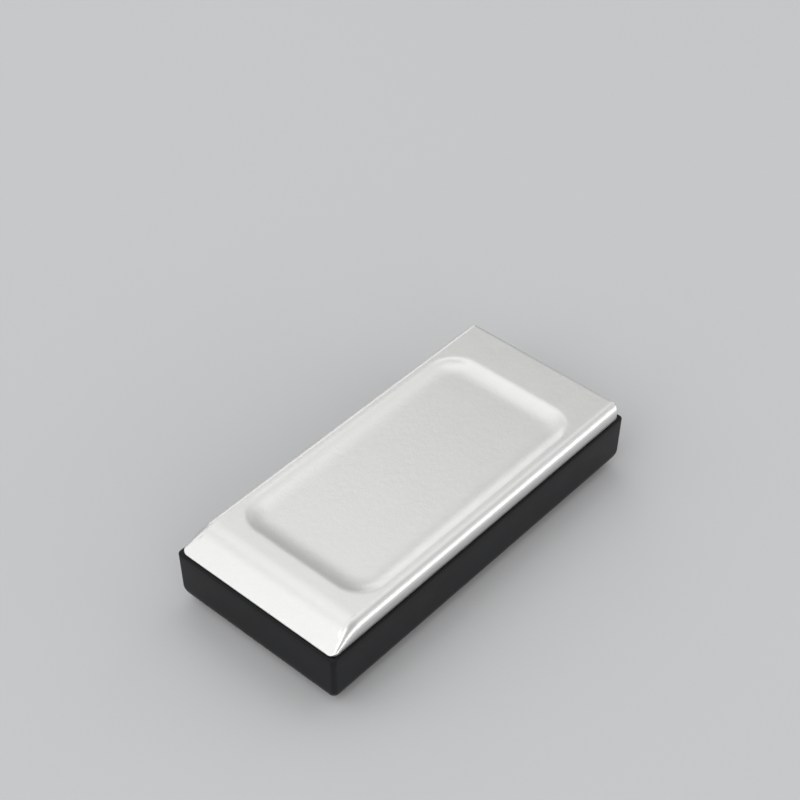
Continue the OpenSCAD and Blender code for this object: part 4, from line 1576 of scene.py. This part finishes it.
@dataclass
class StatusLight:
    """The lamp under the board and the clear rod that takes its light to the end of the case.

    Attributes:
        dome: height of the rod's domed end.
        foot_bevel: rounding of the rod's foot.
        lens_h: height of the lens on the lamp.
        lens_inset: how far the lens stands in along the lamp, and twice what it does across it.
        lens_root: how deep the lens is rooted in the lamp.
        lamp_bevel: rounding of the lamp's edges.
    """

    dome: float = 0.16
    foot_bevel: float = 0.08
    lens_h: float = 0.2
    lens_inset: float = 0.2
    lens_root: float = 0.1
    lamp_bevel: float = 0.06

    def guide(self) -> Mesh:
        """The rod with its foot under the lamp."""
        low, high = span("light_guide")
        led_low, led_high = span("status_led")
        z = port_z()
        r, y, start = z - low.z, (low.y + high.y) / 2, (led_low.x + led_high.x) / 2
        reach, ball_r = high.x - start, (r**2 + self.dome**2) / (2 * self.dome)
        profile = [(0, 0), (r, 0), (r, reach - self.dome)]
        for k in (0.8, 0.6, 0.4, 0.2):
            profile.append((r * k, reach - ball_r + math.sqrt(ball_r**2 - (r * k) ** 2)))
        place = Matrix.Translation((start, y, z)) @ Matrix.Rotation(math.pi / 2, 4, "Y")
        rod = turned([*profile, (0, reach)], "rod", 32, place)
        half = start - low.x
        corners = ((start - half, y - r, low.z), (start + half, y + r, high.z))
        foot = box_mesh([corners], self.foot_bevel, "foot")
        return joined([rod, foot], "light_rod")

    def lamp(self) -> Mesh:
        """The lamp's body with a lens that points down."""
        low, high = span("status_led")
        dx, dy, lens_z = self.lens_inset, self.lens_inset / 2, low.z + self.lens_h
        lens = ((low.x + dx, low.y + dy, low.z), (high.x - dx, high.y - dy, lens_z + self.lens_root))
        return box_mesh([((low.x, low.y, lens_z), high), lens], self.lamp_bevel, "lamp")

    def build(self, shop: Workshop) -> None:
        """Makes the rod and the lamp."""
        shop.place("light_rod", self.guide(), Finishes.GUIDE, "guide_clear", "light_guide")
        shop.place("status_lamp", self.lamp(), Finishes.LAMP, "lamp_white", "status_led")


@dataclass
class Fasteners:
    """The board's four screws and the brass inserts that they go into.

    Attributes:
        length: length under the head.
        head_ratio: radius of the head over its height.
        head_edge: share of the head's height that its upright edge takes.
        thread_r: radius of the thread.
        thread_depth: depth of the thread.
        thread_pitch: distance between its turns.
        plain_l: plain length over and under the thread.
        tip: chamfer at the tip.
        cross_l: length of the cross in the head.
        cross_w: width of its arms.
        cross_depth: its depth.
        bore_r: radius of the bore in an insert.
        groove: depth of an insert's two grooves.
    """

    length: float = 4.0
    head_ratio: float = 1.4 / 0.6
    head_edge: float = 0.45
    thread_r: float = 0.8
    thread_depth: float = 0.12
    thread_pitch: float = 0.35
    plain_l: float = 0.2
    tip: float = 0.05
    cross_l: float = 1.7
    cross_w: float = 0.4
    cross_depth: float = 0.3
    bore_r: float = 0.8
    groove: float = 0.12

    def screw(self) -> Mesh:
        """A pan-head screw that hangs down from the origin."""
        h = span("board_screws")[1].z - span("circuit_board")[1].z
        head_r, edge = h * self.head_ratio, self.head_edge
        crest, root, l = self.thread_r, self.thread_r - self.thread_depth, self.length
        profile = [(0, -l), (root, -l + self.tip)]
        for k in range(int(l / self.thread_pitch) - 2):
            z = -l + self.plain_l + k * self.thread_pitch
            profile += [(root, z), (crest, z + self.thread_pitch / 2)]
        profile += [(root, -self.plain_l), (root, 0), (head_r, 0), (head_r, h * edge)]
        for t in (0.35, 0.7, 1.05, 1.35):
            profile.append((head_r * math.cos(t), h * (edge + (1 - edge) * math.sin(t))))
        arms = []
        for arm_l, arm_w in ((self.cross_l, self.cross_w), (self.cross_w, self.cross_l)):
            arms.append(box_mesh([centred_box(arm_l, arm_w, h - self.cross_depth, h + 1)], 0, "arm"))
        return cut_out(turned([*profile, (0, h)], "screw", 32), arms)

    def insert(self) -> Mesh:
        """A knurled insert with two grooves that stands on the origin."""
        low, high = span("screw_inserts")
        crest, h = high.y - fastener_y(), high.z - low.z
        root = crest - self.groove
        outer = [(crest, 0.0), (crest, 0.3), (root, 0.34), (root, 0.44), (crest, 0.48)]
        outer += [(crest, 0.82), (root, 0.86), (root, 0.94), (crest, 1.0)]
        return tube_of([*((r, h * z) for r, z in outer), (self.bore_r, h), (self.bore_r, 0)], "insert")

    def build(self, shop: Workshop) -> None:
        """Makes both kinds.

        Args:
            shop: materials, rows and the scene.
        """
        screws = shop.four_up(self.screw(), span("circuit_board")[1].z, Finishes.SCREW)
        shop.place("pan_head_screws", screws, Finishes.SCREW, "screw_steel", "board_screws")
        inserts = shop.four_up(self.insert(), span("screw_inserts")[0].z, Finishes.BRASS)
        shop.place("knurled_inserts", inserts, Finishes.BRASS, "insert_brass", "screw_inserts")


# The studio


@dataclass(frozen=True)
class Panel:
    """A soft panel of light that faces the drive.

    Attributes:
        name: the lamp's name.
        azimuth: its direction, in degrees from the drive's +X towards its +Y.
        elevation: its height over the horizon, in degrees.
        radiance: how bright its face is.
        width: its width, in metres.
        height: its height, in metres.
    """

    name: str
    azimuth: float
    elevation: float
    radiance: float
    width: float = 1.2
    height: float = 1.2


PANELS = (
    Panel("high_port_end", 0, 60, 0.55),
    Panel("high_far_side", 60, 60, 0.68),
    Panel("high_slope_side", 120, 60, 0.48),
    Panel("high_slope_end", 180, 60, 1.45),
    Panel("side_far_corner", 135, 28, 0.9),
    Panel("side_slope_end", 180, 28, 1.35),
    Panel("side_near_corner", 235, 20, 1.5, 1.3, 0.9),
    Panel("side_port_corner", 315, 28, 0.4),
    Panel("low_far_side", 60, 22, 1.0, 1.0, 0.7),
    Panel("low_port_end", 0, 22, 1.1, 1.0, 0.7),
    Panel("strip_long_edge", 270, 10, 1.5, 1.4, 0.6),
    Panel("strip_middle", 295, 10, 1.8, 1.0, 0.6),
    Panel("strip_port_corner", 320, 10, 1.4, 1.0, 0.6),
)


@dataclass
class Studio:
    """Floor, lamps, world and camera.

    Attributes:
        azimuth: the camera's direction round the drive, in degrees.
        elevation: its height over the horizon, in degrees.
        roll: its roll, in degrees.
        distance: from the point it looks at.
        aim_right: that point, to the right of the drive's origin in the picture.
        aim_up: that point, above the origin in the picture.
        lens: focal length on a sensor of the width below.
        sensor: width of the sensor.
        lamp_distance: how far the lamps hang from the drive, in metres.
        world_level: brightness of the soft light from all round.
        world_seen: brightness of the backdrop, which metal and clear plastic show too.
        floor_colour: colour of the floor.
        floor_half: half the length of its sides, in metres.
        floor_drop: how far it lies under the drive, in metres.
    """

    azimuth: float = -48.484
    elevation: float = 42.411
    roll: float = 0.164
    distance: float = 299.18
    aim_right: float = -1.345
    aim_up: float = 20.638
    lens: float = 83.42
    sensor: float = 36.0
    lamp_distance: float = 2.0
    world_level: float = 0.6
    world_seen: float = 0.45
    floor_colour: Colour = (0.50, 0.505, 0.51)
    floor_half: float = 1.5
    floor_drop: float = 0.00003

    def camera(self) -> None:
        """Places the camera where the photograph was taken from."""
        a, e, t = (math.radians(v) for v in (self.azimuth, self.elevation, self.roll))
        back = Vector((math.sin(a) * math.cos(e), -math.cos(a) * math.cos(e), math.sin(e)))
        right = (-back).cross(Vector((0, 0, 1))).normalized()
        up = right.cross(-back)
        right, up = right * math.cos(t) + up * math.sin(t), up * math.cos(t) - right * math.sin(t)
        data = bpy.data.cameras.new("camera")
        data.lens, data.sensor_width, data.sensor_fit = self.lens, self.sensor, "HORIZONTAL"
        data.clip_start, data.clip_end = 0.01, 20.0
        camera = linked("camera", data)
        place = right * self.aim_right + up * self.aim_up + back * self.distance
        turn = Matrix((right, up, back)).transposed().to_4x4()
        camera.matrix_world = Matrix.Translation(place * MM) @ turn
        bpy.context.scene.camera = camera

    def floor(self) -> None:
        """Lays the pale floor just under the drive."""
        mesh, signs = bpy.data.meshes.new("floor"), ((-1, -1), (1, -1), (1, 1), (-1, 1))
        corners = [(self.floor_half * sx, self.floor_half * sy, -self.floor_drop) for sx, sy in signs]
        mesh.from_pydata(corners, [], [(0, 1, 2, 3)])
        material = bpy.data.materials.new("pale_floor")
        material.use_nodes = True
        feed(material.node_tree, material.node_tree.nodes["Principled BSDF"], {
            "Base Color": (*self.floor_colour, 1.0),
            "Roughness": 0.65,
            "Specular IOR Level": 0.2,
        })
        mesh.materials.append(material)
        linked("floor", mesh)

    def lamp(self, panel: Panel) -> None:
        """Hangs a soft panel that faces the drive.

        Args:
            panel: where it hangs, how large it is and how bright.
        """
        data = bpy.data.lights.new(panel.name, "AREA")
        data.shape = "RECTANGLE"
        data.size, data.size_y = panel.width, panel.height
        data.energy = panel.radiance * math.pi * panel.width * panel.height
        lamp = linked(panel.name, data)
        turn, rise = math.radians(panel.azimuth), math.radians(panel.elevation)
        place = Vector((math.cos(turn) * math.cos(rise), math.sin(turn) * math.cos(rise), math.sin(rise)))
        place *= self.lamp_distance
        lamp.location = place
        lamp.rotation_mode = "QUATERNION"
        lamp.rotation_quaternion = place.to_track_quat("Z", "Y")
        lamp.visible_camera = False

    def world(self) -> None:
        """Sets the soft light from all round, and the pale backdrop that the camera sees."""
        world = bpy.data.worlds.new("studio")
        world.use_nodes = True
        bpy.context.scene.world = world
        add = partial(add_node, world.node_tree)
        path = add("ShaderNodeLightPath").outputs
        direct = {0: path["Is Camera Ray"], 1: path["Is Glossy Ray"]}
        seen = {0: add("ShaderNodeMath", direct, operation="MAXIMUM"), 1: path["Is Transmission Ray"]}
        either = add("ShaderNodeMath", seen, operation="MAXIMUM")
        strength = add("ShaderNodeMix", {"Factor": either, "A": self.world_level, "B": self.world_seen})
        sky = world.node_tree.nodes["Background"]
        feed(world.node_tree, sky, {"Strength": strength, "Color": (1.0, 1.0, 1.0, 1.0)})

    def build(self) -> None:
        """Sets up the whole studio."""
        self.camera()
        self.floor()
        self.world()
        for panel in PANELS:
            self.lamp(panel)
        bpy.context.scene.view_settings.view_transform = "Standard"


def main() -> None:
    """Builds the drive piece by piece, then the studio."""
    logging.basicConfig(level=logging.INFO)
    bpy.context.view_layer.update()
    shop = Workshop()
    for assembly in (TopCover(), BottomCase(), SeamTape(), Board(), Port(), StatusLight(), Fasteners()):
        assembly.build(shop)
    Studio().build()


if __name__ == "__main__":
    main()
